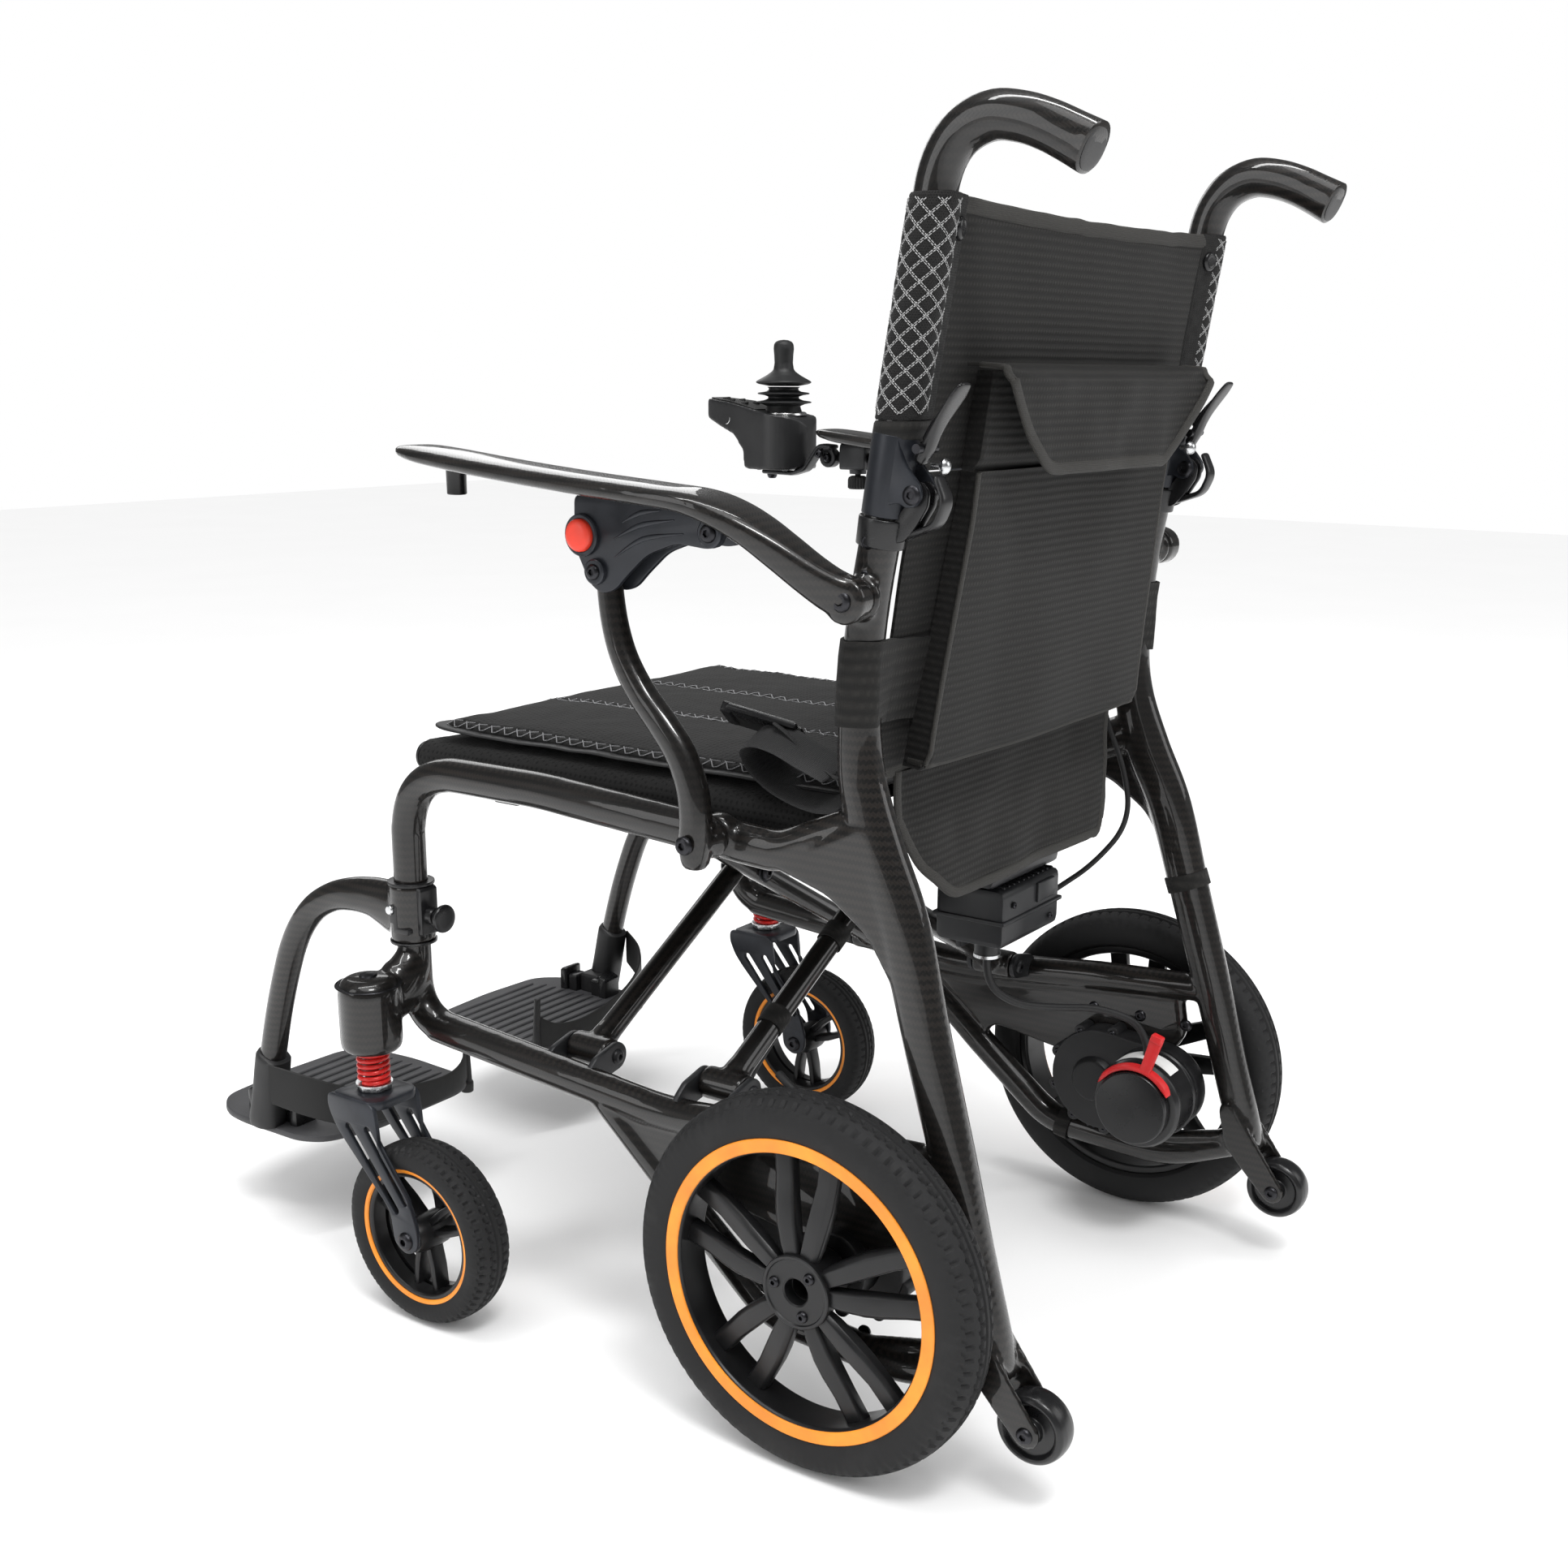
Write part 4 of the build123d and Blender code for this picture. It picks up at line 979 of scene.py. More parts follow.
for side, sign in SIDES:
    flip = sign < 0
    fused(f"{side}_armrest_skin", armrest_skin(), CARBON, voxel=1.7, rounds=3, mirror=flip,
        body=f"{side}_arm", replaces=[f"{side}_armrest"], slot="carbon")
    shell = [slab(rounded(bracket_outline(), 7), span, bevel=1.6) for span in ((279.6, 284.4),
        (255.6, 260.4))]
    shell.append(slab(rounded([(76, 714), (168, 707), (168, 701), (150, 699), (76, 704)], 2), (258, 282),
        bevel=1.0))
    for low, high, lift in ((((112, 697), (128, 704), (146, 706.5)), 0, 0),
            (((104, 685), (128, 695.5), (158, 700.5)), 0, 0),
            (((104, 672), (130, 686), (166, 691.5)), 0, 0)):
        shell.append(sweep([(284.2, low[0][0], low[0][1], 0.9, 0.5), (284.4, *low[1], 1.3, 1.9),
            (284.2, *low[2], 0.9, 0.5)], spacing=3, sides=12, caps=0.6))
    collar = [(284, 15.6), (286.6, 15.2), (287.6, 14.2), (287.6, 12.3), (284, 12.2)]
    shell.append(lathe([(a - 284, r) for a, r in collar], (284, 74, 686), "X", 64))
    shell.append(lathe([(284 - 284, 0), (0, 10.5), (3.4, 10.2), (4.6, 8.8), (4.6, 0)], (284, 191, 693.5),
        "X", 48))
    shell.append(lathe([(0, 0), (0, 9.6), (3, 9.2), (4, 8), (4, 0)], (284, 86, 660.5), "X", 48))
    make(f"{side}_arm_bracket", shell, BLUE_METAL, f"{side}_arm", [f"{side}_armrest_bracket"],
        mirror=flip)
    heads = [bolt((288.2, 191, 693.5), (1, 0, 0), 6.6, 3.2), bolt((287.8, 86, 660.5), (1, 0, 0), 5.8, 3)]
    heads += [bolt((255.8, 191, 693.5), (-1, 0, 0), 6.6, 3.2), bolt((255.8, 86, 660.5), (-1, 0, 0), 5.8, 3)]
    make(f"{side}_arm_bracket_bolts", heads, DARK_STEEL, f"{side}_arm", mirror=flip)
    dome = round_profile([(0, 0), (0, 11.8), (9.4, 11.8), (11.6, 8.6), (12.2, 0)], 1.6)
    make(f"{side}_push_button", [lathe(dome, (281, 74, 686), "X", 64)], BUTTON_RED, f"{side}_arm_button",
        [f"{side}_armrest_button"], mirror=flip)
    strut = sweep(
        [
            (270, 86, 668, 9, 9), (270, 86.5, 650, 9.4, 9.4), (270.5, 91, 622, 9.6, 9.8),
            (271, 100, 597, 9.8, 10.2), (271.5, 116, 573, 10, 10.8),
            (272, 136, 552, 10.2, 11.4), (272, 152, 532, 10.4, 11.8), (272, 162, 509, 10.6, 12),
            (272, 165.5, 486, 11, 12.4), (272, 165, 468, 11.4, 12.6), (272, 164.5, 456, 11.2, 11),
        ],
        spacing=4, sides=32, power=2.3, caps=0.8,
    )
    barrel = lathe(round_profile([(252.3, 0), (252.3, 15.6), (256, 16), (262, 14), (272, 12), (272, 0)], 2),
        (0, STRUT_HUB.y, STRUT_HUB.z), "X", 64)
    fused(f"{side}_strut_skin", [strut, barrel], CARBON, voxel=1.5, rounds=3, mirror=flip,
        body=f"{side}_arm_strut", replaces=[f"{side}_armrest_post"], slot="carbon")


# ---------------------------------------------------------------- back tubes, hinges and levers
for side, sign in SIDES:
    flip = sign < 0
    tube = sweep(
        [
            (226, back_y(708), 708, 14, 14), (225, back_y(760), 760, 14, 14),
            (223.5, back_y(840), 840, 14, 14), (222.5, back_y(890), 890, 14, 14),
            (222, 327, 920, 14, 14.2), (222, 335.5, 938, 14, 14.4), (221.5, 348, 949, 14.3, 14.8),
            (221, 366, 954.5, 14.6, 15), (220.5, 386, 952, 14.8, 15),
            (220, 404, 946, 15, 15.2), (219.5, 419, 939, 15.2, 15.6), (219, 429, 934, 15.6, 16.2),
            (219, 433, 932, 15.8, 16.4),
        ],
        spacing=5, sides=36, power=2.25, caps=0.12,
    )
    make(f"{side}_back_tube_skin", [tube], CARBON, f"{side}_back", [f"{side}_back_tube"],
        mirror=flip)
    end = sweep([(219, 431.6, 932.6, 13.4, 13.8), (219, 434.2, 931.4, 13.6, 14)], spacing=4, sides=36,
        power=2.25, caps=0.05)
    make(f"{side}_handle_plug", [end], SMOOTH_BLACK, f"{side}_back", mirror=flip)

    metal = []
    lean = Vector((0, BACK_LEAN, 1)).normalized()
    sleeve = round_profile([(-0.4, 14.2), (-0.4, 16.4), (54, 16.4), (54, 14.2)], 0.8)
    metal.append(lathe(sleeve, (226, back_y(707.6), 707.6), lean, 64))
    cheek = [(292, 713), (299, 712.4), (306, 715.5), (313, 716.5), (318, 713.5), (325, 714), (330, 720),
        (329.5, 727), (325, 733), (317.5, 741), (312.6, 752), (311.6, 760.5), (298, 761.4)]
    for span in ((214.2, 218.6), (235.4, 239.8)):
        metal.append(slab(rounded(cheek, 4), span, bevel=1.0))
    metal.append(slab(rounded([(300, 714), (308, 717), (314, 730), (309, 748), (308, 758), (298, 758)], 3),
        (218, 236), bevel=1.2))
    make(f"{side}_hinge_bracket", metal, BLUE_METAL, f"{side}_back", mirror=flip)
    heads = [bolt((239.7, BACK_HUB.y, BACK_HUB.z), (1, 0, 0), 6.6, 2.2),
        bolt((214.3, BACK_HUB.y, BACK_HUB.z), (-1, 0, 0), 6.6, 2.2)]
    heads.append(lathe([(213.4, 3.2), (213.4, 0), (238.6, 0), (238.6, 3.2)], (0, LEVER_HUB.y, LEVER_HUB.z),
        "X", 24))
    make(f"{side}_hinge_bolts", heads, DARK_STEEL, f"{side}_back", mirror=flip)

    low = [lathe(round_profile([(-21, 14.2), (-21, 17.2), (-3.2, 17.6), (-1.2, 17.4), (-1.2, 14.2)], 1.2),
        (226, back_y(707), 707), lean, 64)]
    for span in ((219.2, 222.8), (229.2, 232.8)):
        low.append(slab(rounded([(300, 688), (312, 690), (322, 700), (331, 714), (332, 724), (326, 731),
            (318, 729), (315, 716), (304, 702)], 3), span, bevel=0.8))
    catch = sweep(bend([(226, 312, 694, 5, 2.6), (226, 336, 702, 7, 2.4), (226, 343, 718, 7.4, 2.2),
        (226, 336, 733, 6.6, 2)], [14, 14]), spacing=3, sides=20, power=3)
    low.append(catch)
    make(f"{side}_hinge_socket", low, SMOOTH_BLACK, f"{side}_side", [f"{side}_back_hinge"],
        mirror=flip)

    blade = sweep(
        [
            (226, 322, 744, 6.2, 4.2), (226, 326.5, 752, 6.4, 4.4), (226, 331, 761, 6.8, 3.6),
            (226, 336, 769, 8, 2.6), (226, 342, 777.5, 9.6, 2.2),
            (226, 348, 785.5, 10, 2.1), (226, 352.5, 791.5, 8.2, 1.9),
        ],
        spacing=2.5, sides=28, power=2.8, caps=0.4,
    )
    rib = sweep([(226, 327, 756, 1.6, 5.6), (226, 332, 766, 1.5, 4.6), (226, 339, 776, 1.3, 3.2),
        (226, 345, 784, 1.0, 2.2)], spacing=3, sides=12, power=3)
    fused(f"{side}_lever_blade", [blade, rib], SMOOTH_BLACK, voxel=0.9, rounds=2, mirror=flip,
        body=f"{side}_release_lever", replaces=[f"{side}_back_lever"], slot="black_plastic")
    ball = []
    ball.append(lathe([(-6, 0), (-6, 2.2), (0, 2.2), (1.2, 4.6), (3.4, 5.8), (5.8, 5), (7.6, 2.6), (8, 0)],
        (209, 326, 740), (-0.25, 0.97, -0.05), 32))
    make(f"{side}_catch_screw", ball, ZINC, f"{side}_back", mirror=flip)


# ---------------------------------------------------------------- leg rests
for side, sign in SIDES:
    flip = sign < 0
    front = (239, -172)
    bow = sweep(
        [
            (239, -178, 348, 17, 26), (240, -190, 349, 15, 25), (241.5, -203, 352, 13.4, 21.5),
            (243, -218, 354.5, 12.6, 18), (245, -240, 353.5, 12.2, 15.4),
            (246, -264, 347.5, 12, 13.6), (247, -288, 334, 12, 12.6), (248, -307, 314, 12, 12),
            (248, -322, 290, 12, 12), (248, -334, 262, 12, 12),
            (248, -347, 226, 12, 12), (248, -359, 186, 12, 12), (248, -368, 150, 12, 12),
            (248, -373, 116, 12, 12),
        ],
        spacing=5, sides=32, power=2.2,
    )
    wrap = lathe(round_profile([(323, 14.9), (323, 18), (325, 19.4), (373, 19.4), (375, 18), (375, 14.9)],
        2), (*front, 0), "Z", 64)
    fused(f"{side}_hanger_skin", [bow, wrap], CARBON, voxel=1.7, rounds=3, mirror=flip,
        body=f"{side}_hanger", replaces=[f"{side}_foot_hanger"], slot="carbon")
    liner = [lathe(round_profile([(321.5, 14.7), (321.5, 20.2), (324, 20.4), (324, 14.7)], 0.5),
        (*front, 0), "Z", 64)]
    liner.append(lathe(round_profile([(374, 14.7), (374, 20.4), (376.6, 20.2), (376.6, 14.7)], 0.5),
        (*front, 0), "Z", 64))
    liner.append(slab(rounded([(-180, 341), (-176, 341), (-176, 333), (-158, 333), (-158, 338), (-171, 338),
        (-171, 357), (-180, 357)], 1.4), (252.5, 258.8), bevel=0.8))
    liner.append(slab(rounded([(-157, 330), (-150.5, 331), (-150.5, 372), (-157, 375)], 2), (229, 249),
        bevel=1.6))
    liner.append(lathe([(18, 0), (18, 7.8), (27, 7.6), (28, 6.6), (28, 4.2)], (front[0], front[1], 348),
        "Y", 40))
    make(f"{side}_hanger_liner", liner, SMOOTH_BLACK, f"{side}_hanger", mirror=flip)
    pin = lathe([(252, 0), (252, 4.4), (260.4, 4.3), (261.4, 3.4), (261.6, 0)], (0, -178, 353), "X", 32)
    make(f"{side}_hanger_pin", [pin], ZINC, f"{side}_hanger", mirror=flip)
    knob = lathe(round_profile([(19, 0), (19, 3.9), (29, 4.2), (32, 6), (35, 11.4), (38, 12.6), (40, 11.8),
        (40.8, 8), (41.2, 0)], 1.4), (239, -172, 348), "Y", 56)
    make(f"{side}_hanger_pull_knob", [knob], SMOOTH_BLACK, f"{side}_hanger_pull", [f"{side}_hanger_knob"],
        mirror=flip)

    clamp = [lathe(round_profile([(124, 12.2), (124, 15.6), (172, 15.2), (175, 14), (175, 12.2)], 1.2),
        (248, -371, 0), (0, -0.1, 1), 56)]
    clamp = [sweep([(248, -361, 176, 14.2, 14.2), (248, -362, 174, 15.2, 15.2),
        (248, -371, 132, 15.6, 15.6), (248, -377, 108, 15.8, 16.2), (248, -378, 102, 14.6, 15)], spacing=6,
        sides=40, power=2.6, caps=0.1)]
    clamp.append(slab(rounded([(-392, 100), (-366, 98), (-364, 124), (-392, 124)], 5), (222, 250), bevel=3))
    make(f"{side}_foot_clamp", clamp, BLACK_PLASTIC, f"{side}_hanger", mirror=flip)
    lobes = [
        slab(rounded([(-416, 96), (-405, 96), (-405, 129), (-416, 126)], 3.5), (214, 240), bevel=3),
        slab(rounded([(-357.6, 96), (-346, 99), (-346, 124), (-357.6, 128)], 3.5), (214, 240), bevel=3),
    ]
    make(f"{side}_foot_hinge_caps", lobes, SMOOTH_BLACK, f"{side}_hanger", mirror=flip)

    edge = [(48, -322), (58, -298), (80, -290), (190, -290), (238, -306), (252, -330), (253, -410),
        (248, -440), (226, -468), (150, -474), (72, -470), (50, -446), (44, -390)]
    plate = [slab(rounded(edge, 16, 6), (94.5, 101.8), axis="Z", bevel=2.6)]
    for index in range(11):
        y = -452 + index * 14.4
        reach = 8 if index in (0, 10) else 0
        plate.append(sweep([(60 + reach, y, 101.4, 3.0, 1.5), (70 + reach, y, 101.7, 3.2, 2.5),
            (204, y, 101.7, 3.2, 2.5), (212 - reach, y, 101.4, 3.0, 1.5)], spacing=40, sides=16,
            side=(0, 1, 0), power=2.6, caps=0.4))
    make(f"{side}_footplate_tread", plate, FOOT_PLASTIC, f"{side}_foot", [f"{side}_footplate"],
        mirror=flip)
    rear = []
    for low in (-404.5, -370.2):
        rear.append(slab(rounded([(low, 96), (low + 12.6, 96), (low + 12.6, 121), (low, 121)], 3),
            (216, 236), bevel=2.4))
    make(f"{side}_foot_hinge_lobes", rear, SMOOTH_BLACK, f"{side}_foot", mirror=flip)
    verts, faces = [], []
    path = spline([(262, -352, 152, 20), (246, -322, 142, 21), (222, -302, 130, 20), (186, -291, 120, 17),
        (140, -286, 114, 14), (98, -287, 112, 12), (70, -294, 114, 13), (54, -304, 120, 18)], 6)
    normals = []
    for i, row in enumerate(path):
        ahead = Vector(path[min(i + 1, len(path) - 1)][:3]) - Vector(path[max(i - 1, 0)][:3])
        ahead.z = 0
        normals.append(ahead.normalized().cross(Vector((0, 0, 1))))
    n = 12
    for row, out in zip(path, normals):
        x, y, z, half = row
        for k in range(n):
            a = 2 * pi * k / n
            c, s = cos(a), sin(a)
            v = abs(s) ** 0.35 * (1 if s >= 0 else -1)
            u = abs(c) ** 0.6 * (1 if c >= 0 else -1)
            verts.append(Vector((x, y, z + half * v)) + out * 1.7 * u)
    for i in range(len(path) - 1):
        for k in range(n):
            m = (k + 1) % n
            faces.append((i * n + k, i * n + m, (i + 1) * n + m, (i + 1) * n + k))
    faces += [tuple(range(n)), tuple(range((len(path) - 1) * n, len(path) * n))]
    band = (verts, faces)
    make(f"{side}_heel_band", [band], SOFT_RUBBER, f"{side}_foot", mirror=flip)
    prop = [sweep([(52, -306, 90, 5, 6), (52, -305, 102, 4.2, 5), (53, -304, 130, 3.4, 4),
        (54, -303, 156, 3.2, 3.6)], spacing=8, sides=20),
        lathe(round_profile([(86, 0), (86, 6.4), (96, 6.8), (100, 5), (100, 0)], 1.2), (52, -306, 0), "Z",
        32)]
    make(f"{side}_heel_prop", prop, BLACK_PLASTIC, f"{side}_foot", mirror=flip)


# ---------------------------------------------------------------- motors
for side, sign in SIDES:
    flip = sign < 0
    y, z = JOINT[f"{side}_freewheel"].y, JOINT[f"{side}_freewheel"].z
    ahead = 1 if y > DRIVE.y else -1
    case = [slab(hull([(DRIVE.y, DRIVE.z, 50), (y, z, 42.5)], 64), (207, 233), bevel=3)]
    for k in range(9):
        a = radians(40 * k + 78)
        case.append(slab(circle(DRIVE.y + ahead * 49.5 * cos(a), DRIVE.z + 49.5 * sin(a), 6.4, 28),
            (210, 231), bevel=1.4))
    case.append(lathe(round_profile([(231, 0), (231, 29.8), (256, 29.6), (257, 28), (257, 0)], 1),
        (0, DRIVE.y, DRIVE.z), "X", 64))
    case.append(lathe(round_profile([(200, 0), (200, 20), (207.5, 24), (207.5, 0)], 2),
        (0, DRIVE.y - 4, DRIVE.z), "X", 64))
    make(f"{side}_gear_case", case, MOTOR_BLACK, f"{side}_side", [f"{side}_drive_motor"],
        mirror=flip)
    can = [lathe(round_profile([(209, 0), (209, 43.5), (204, 43.5), (203, 42), (176, 42), (175, 42.6),
        (170.5, 42.6), (166, 40), (164.8, 35.6), (164.8, 0)], 0.8), (0, y, z), "X", 96)]
    can.append(lathe(round_profile([(165, 0), (165, 34.6), (156.4, 34.6), (155, 33.4), (155, 0)], 0.8),
        (0, y, z), "X", 96))
    make(f"{side}_motor_can", can, SMOOTH_BLACK, f"{side}_side", mirror=flip)
    heads = []
    for k in range(3):
        a = radians(120 * k - 28)
        heads.append(bolt((170.5, y + 39.2 * cos(a), z + 39.2 * sin(a)), (-1, 0, 0), 2.6, 1.4))
    for k in range(9):
        a = radians(40 * k + 78)
        if (DRIVE.y + ahead * 49.5 * cos(a) - y) ** 2 + (DRIVE.z + 49.5 * sin(a) - z) ** 2 > 52 ** 2:
            heads.append(bolt((210.2, DRIVE.y + ahead * 49.5 * cos(a), DRIVE.z + 49.5 * sin(a)), (-1, 0, 0),
                3.4, 2))
    for dy, dz in ((258, 213), (306, 214), (262, 90), (352, 214)):
        heads.append(bolt((232.4, DRIVE.y + ahead * (dy - DRIVE.y), dz), (-1, 0, 0), 5.6, 3))
    if ahead < 0:
        heads += [bolt((233.2, 236, 190), (1, 0, 0), 5.0, 3), bolt((233.2, 282, 188), (1, 0, 0), 5.0, 3)]
    make(f"{side}_motor_screws", heads, DARK_STEEL, f"{side}_side", mirror=flip)
    verts, faces = [], []
    for k in range(25):
        a = radians(48 + 84 * k / 24)
        for x, r in ((177.5, 42.05), (177.5, 42.3), (196, 42.3), (196, 42.05)):
            verts.append((x, y + r * cos(a), z + r * sin(a)))
    for k in range(24):
        for m in range(4):
            q = (m + 1) % 4
            faces.append((k * 4 + m, k * 4 + q, (k + 1) * 4 + q, (k + 1) * 4 + m))
    faces += [(0, 1, 2, 3), (96, 97, 98, 99)]
    make(f"{side}_motor_label", [(verts, faces)], LABEL, f"{side}_side", mirror=flip)
    arc = []
    verts, faces = [], []
    for k in range(41):
        a = radians(28 + 124 * k / 40)
        trim = min(1, k / 4, (40 - k) / 4) ** 0.5 if 0 < k < 40 else 0.25
        mid = 38.2
        for x, r in ((165.3, mid - 2.7 * trim), (160.5, mid - 2.9 * trim), (157.4, mid - 1.8 * trim),
                (156.8, mid), (157.8, mid + 1.9 * trim), (161.5, mid + 3 * trim), (165.3, mid + 3 * trim)):
            verts.append((x, y + r * cos(a), z + r * sin(a)))
    for k in range(40):
        for m in range(7):
            q = (m + 1) % 7
            faces.append((k * 7 + m, k * 7 + q, (k + 1) * 7 + q, (k + 1) * 7 + m))
    faces += [tuple(range(7)), tuple(range(280, 287))]
    arc.append((verts, faces))
    grip = slab(rounded([(-5.2, 36), (5.2, 36), (5.6, 60), (6.2, 73), (4.6, 77), (-4.6, 77), (-6.2, 73),
        (-5.6, 60)], 1.6), (157.6, 162.8), bevel=1.2)
    spin = Matrix.Translation((0, y, z)) @ Matrix.Rotation(radians(-16), 4, "X")
    arc.append(moved(grip, spin))
    arc.append(moved(slab(rounded([(-5.8, 70), (5.8, 70), (5.6, 77.4), (-5.6, 77.4)], 2), (156.2, 164.6),
        bevel=1.6), spin))
    make(f"{side}_freewheel_handle", arc, RED_PLASTIC, f"{side}_freewheel_lever", [f"{side}_brake_lever"],
        mirror=flip)


# ---------------------------------------------------------------- scissor braces
CENTRE_Z = 248 + (479 - 248) * 205 / 408


def brace_skin(stagger):
    parts = [sweep([(-203, -181, 479, 12, 12), (-203, 0, 479, 12, 12), (-203, 253, 479, 12, 12)],
        spacing=20, sides=32, caps=0.25)]
    for y in (13, 153):
        middle = y + stagger
        foot, top = Vector((205, middle, 248)), Vector((-203, middle, 479))
        run = top - foot
        rows = []
        for t, grow in ((0.0, 1.25), (0.04, 1.1), (0.1, 1.0), (0.5, 1.0), (0.92, 1.0), (0.97, 1.15),
                (1.0, 1.2)):
            rows.append((*(foot + run * t), 10 * grow, 10 * min(grow, 1.12)))
        parts.append(sweep(rows, spacing=14, sides=28, side=(0, 1, 0), power=2.2))
        parts.append(lathe(round_profile([(-20, 5.3), (-20, 12.6), (-18.6, 13.4), (18.6, 13.4), (20, 12.6),
            (20, 5.3)], 0.8), foot, "Y", 56))
    return parts


fused("left_brace_skin", brace_skin(-10.6), CARBON, voxel=1.9, rounds=3, body="left_scissor",
    replaces=["left_cross_brace"], slot="carbon")
fused("right_brace_skin", brace_skin(10.6), CARBON, voxel=1.9, rounds=3, mirror=True, body="right_scissor",
    replaces=["right_cross_brace"], slot="carbon")
heads = []
for y in (13, 153):
    for way in (-1, 1):
        heads.append(bolt((0, y + way * 22.4, CENTRE_Z), (0, way, 0), 7.6, 3.2))
        heads.append(lathe([(way * 20.6, 0), (way * 20.6, 10), (way * 22.4, 10), (way * 22.4, 0)],
            (0, y, CENTRE_Z), "Y", 36))
make("scissor_bolts", heads, DARK_STEEL, "left_scissor", ["cross_bolts"])
for body, x in (("left_scissor", -203), ("right_scissor", 203)):
    caps = []
    for y, way in ((-180, -1), (252, 1)):
        caps.append(lathe(round_profile([(0, 0), (0, 12.7), (way * 3, 12.7), (way * 5.5, 9), (way * 6, 0)],
            1.2), (x, y, 479), "Y", 40))
    make(f"{body}_tube_caps", caps, SMOOTH_BLACK, body)

# ---------------------------------------------------------------- cloth helpers
def solid_pair(first, second, operation="INTERSECT"):
    """The first part cut by, or cut to, the second one."""
    whole = make("first_form", [first], BLACK_PLASTIC)
    tool = make("second_form", [second], BLACK_PLASTIC)
    cut = whole.modifiers.new("cut", "BOOLEAN")
    cut.operation = operation
    cut.object = tool
    cut.solver = "EXACT"
    baked(whole)
    part = ([v.co / MM for v in whole.data.vertices], [tuple(p.vertices) for p in whole.data.polygons])
    bpy.data.objects.remove(whole)
    bpy.data.objects.remove(tool)
    return part


def puffed(obj, voxel=5.0, pressure=3.0, cap=8.0, pinned=None, frames=20):
    """Swells a closed form as cloth under light pressure, with some points held, then smooths it once."""
    remesh = obj.modifiers.new("remesh", "REMESH")
    remesh.mode = "VOXEL"
    remesh.voxel_size = voxel * MM
    baked(obj)
    rest = [v.co.copy() for v in obj.data.vertices]
    cloth = obj.modifiers.new("cloth", "CLOTH")
    fabric = cloth.settings
    fabric.quality = 4
    fabric.mass = 0.2
    fabric.tension_stiffness = 12
    fabric.compression_stiffness = 12
    fabric.shear_stiffness = 4
    fabric.bending_stiffness = 0.4
    fabric.use_pressure = True
    fabric.uniform_pressure_force = pressure
    fabric.effector_weights.gravity = 0
    cloth.collision_settings.use_collision = False
    if pinned:
        held = obj.vertex_groups.new(name="held")
        held.add([v.index for v in obj.data.vertices if pinned(v.co / MM)], 1.0, "REPLACE")
        fabric.vertex_group_mass = "held"
    cloth.point_cache.frame_start = 1
    cloth.point_cache.frame_end = frames
    for number in range(1, frames + 1):
        bpy.context.scene.frame_set(number)
    baked(obj)
    bpy.context.scene.frame_set(1)
    for vert, start in zip(obj.data.vertices, rest):
        move = vert.co - start
        if move.length > cap * MM:
            vert.co = start + move.normalized() * cap * MM
    finer = obj.modifiers.new("finer", "SUBSURF")
    finer.levels = 1
    baked(obj)
    obj.data.shade_smooth()
    return obj


def shaped(obj, change):
    """Moves each point, in millimetres, to change(point)."""
    for vert in obj.data.vertices:
        vert.co = change(vert.co / MM) * MM
    obj.data.update()
    return obj


def drape(points_of, us, vs, thick):
    """A closed sheet. points_of(u, v) gives its middle surface."""
    grid = [[points_of(u, v) for v in vs] for u in us]
    rows, columns = len(us), len(vs)
    verts, faces = [], []
    for face in (0.5, -0.5):
        for i in range(rows):
            for j in range(columns):
                du = grid[min(i + 1, rows - 1)][j] - grid[max(i - 1, 0)][j]
                dv = grid[i][min(j + 1, columns - 1)] - grid[i][max(j - 1, 0)]
                verts.append(grid[i][j] + du.cross(dv).normalized() * thick * face)
    size = rows * columns
    for i in range(rows - 1):
        for j in range(columns - 1):
            a = i * columns + j
            quad = (a, a + 1, a + columns + 1, a + columns)
            faces.append(quad)
            faces.append(tuple(size + k for k in reversed(quad)))
    rim = [i * columns for i in range(rows)] + [(rows - 1) * columns + j for j in range(1, columns)]
    rim += [i * columns + columns - 1 for i in range(rows - 2, -1, -1)] + [j for j in range(columns - 2, 0,
        -1)]
    for k, a in enumerate(rim):
        b = rim[(k + 1) % len(rim)]
        faces.append((a, b, size + b, size + a))
    return verts, faces


def steps(low, high, count):
    return [low + (high - low) * k / count for k in range(count + 1)]


def hem(points_of, line, wide=4.0, thick=1.7, spacing=5.0):
    """Folded tape over the edge of a sheet, along (u, v) pairs."""
    return sweep([(*points_of(u, v), thick, wide) for u, v in line], spacing=spacing, sides=10,
        side=(0, 1, 0), power=2.6, caps=0.2)


def thread(points, radius=0.42, sides=5):
    """A short run of sewing thread."""
    return sweep([(*p, radius, radius) for p in points], spacing=60, sides=sides, caps=0)


def ripple(x, z, scale, seed):
    return noise.noise(Vector((x / scale, z / scale, seed)))


def math_bell(value, width):
    return max(0.0, 1 - (value / width) ** 2) ** 2


def squashed(obj):
    """Gives a piece its own copy of its mesh."""
    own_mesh(obj)
    return obj


# ---------------------------------------------------------------- seat
def sling_line(u):
    """Cross section of the seat sling. u runs from 0 at its right edge to 1 at its left."""
    radius = 13.9
    arc = radians(200) * radius
    flat = 203.0
    total = 2 * (arc + flat)
    s = u * total
    if s < arc:
        a = radians(290) - s / radius
        return -203 + radius * cos(a), 479 + radius * sin(a)
    if s > total - arc:
        a = radians(90) - (s - (total - arc)) / radius
        return 203 + radius * cos(a), 479 + radius * sin(a)
    x = s - arc - flat
    return x, 479 + radius - 5.0 * (1 - (x / flat) ** 2)


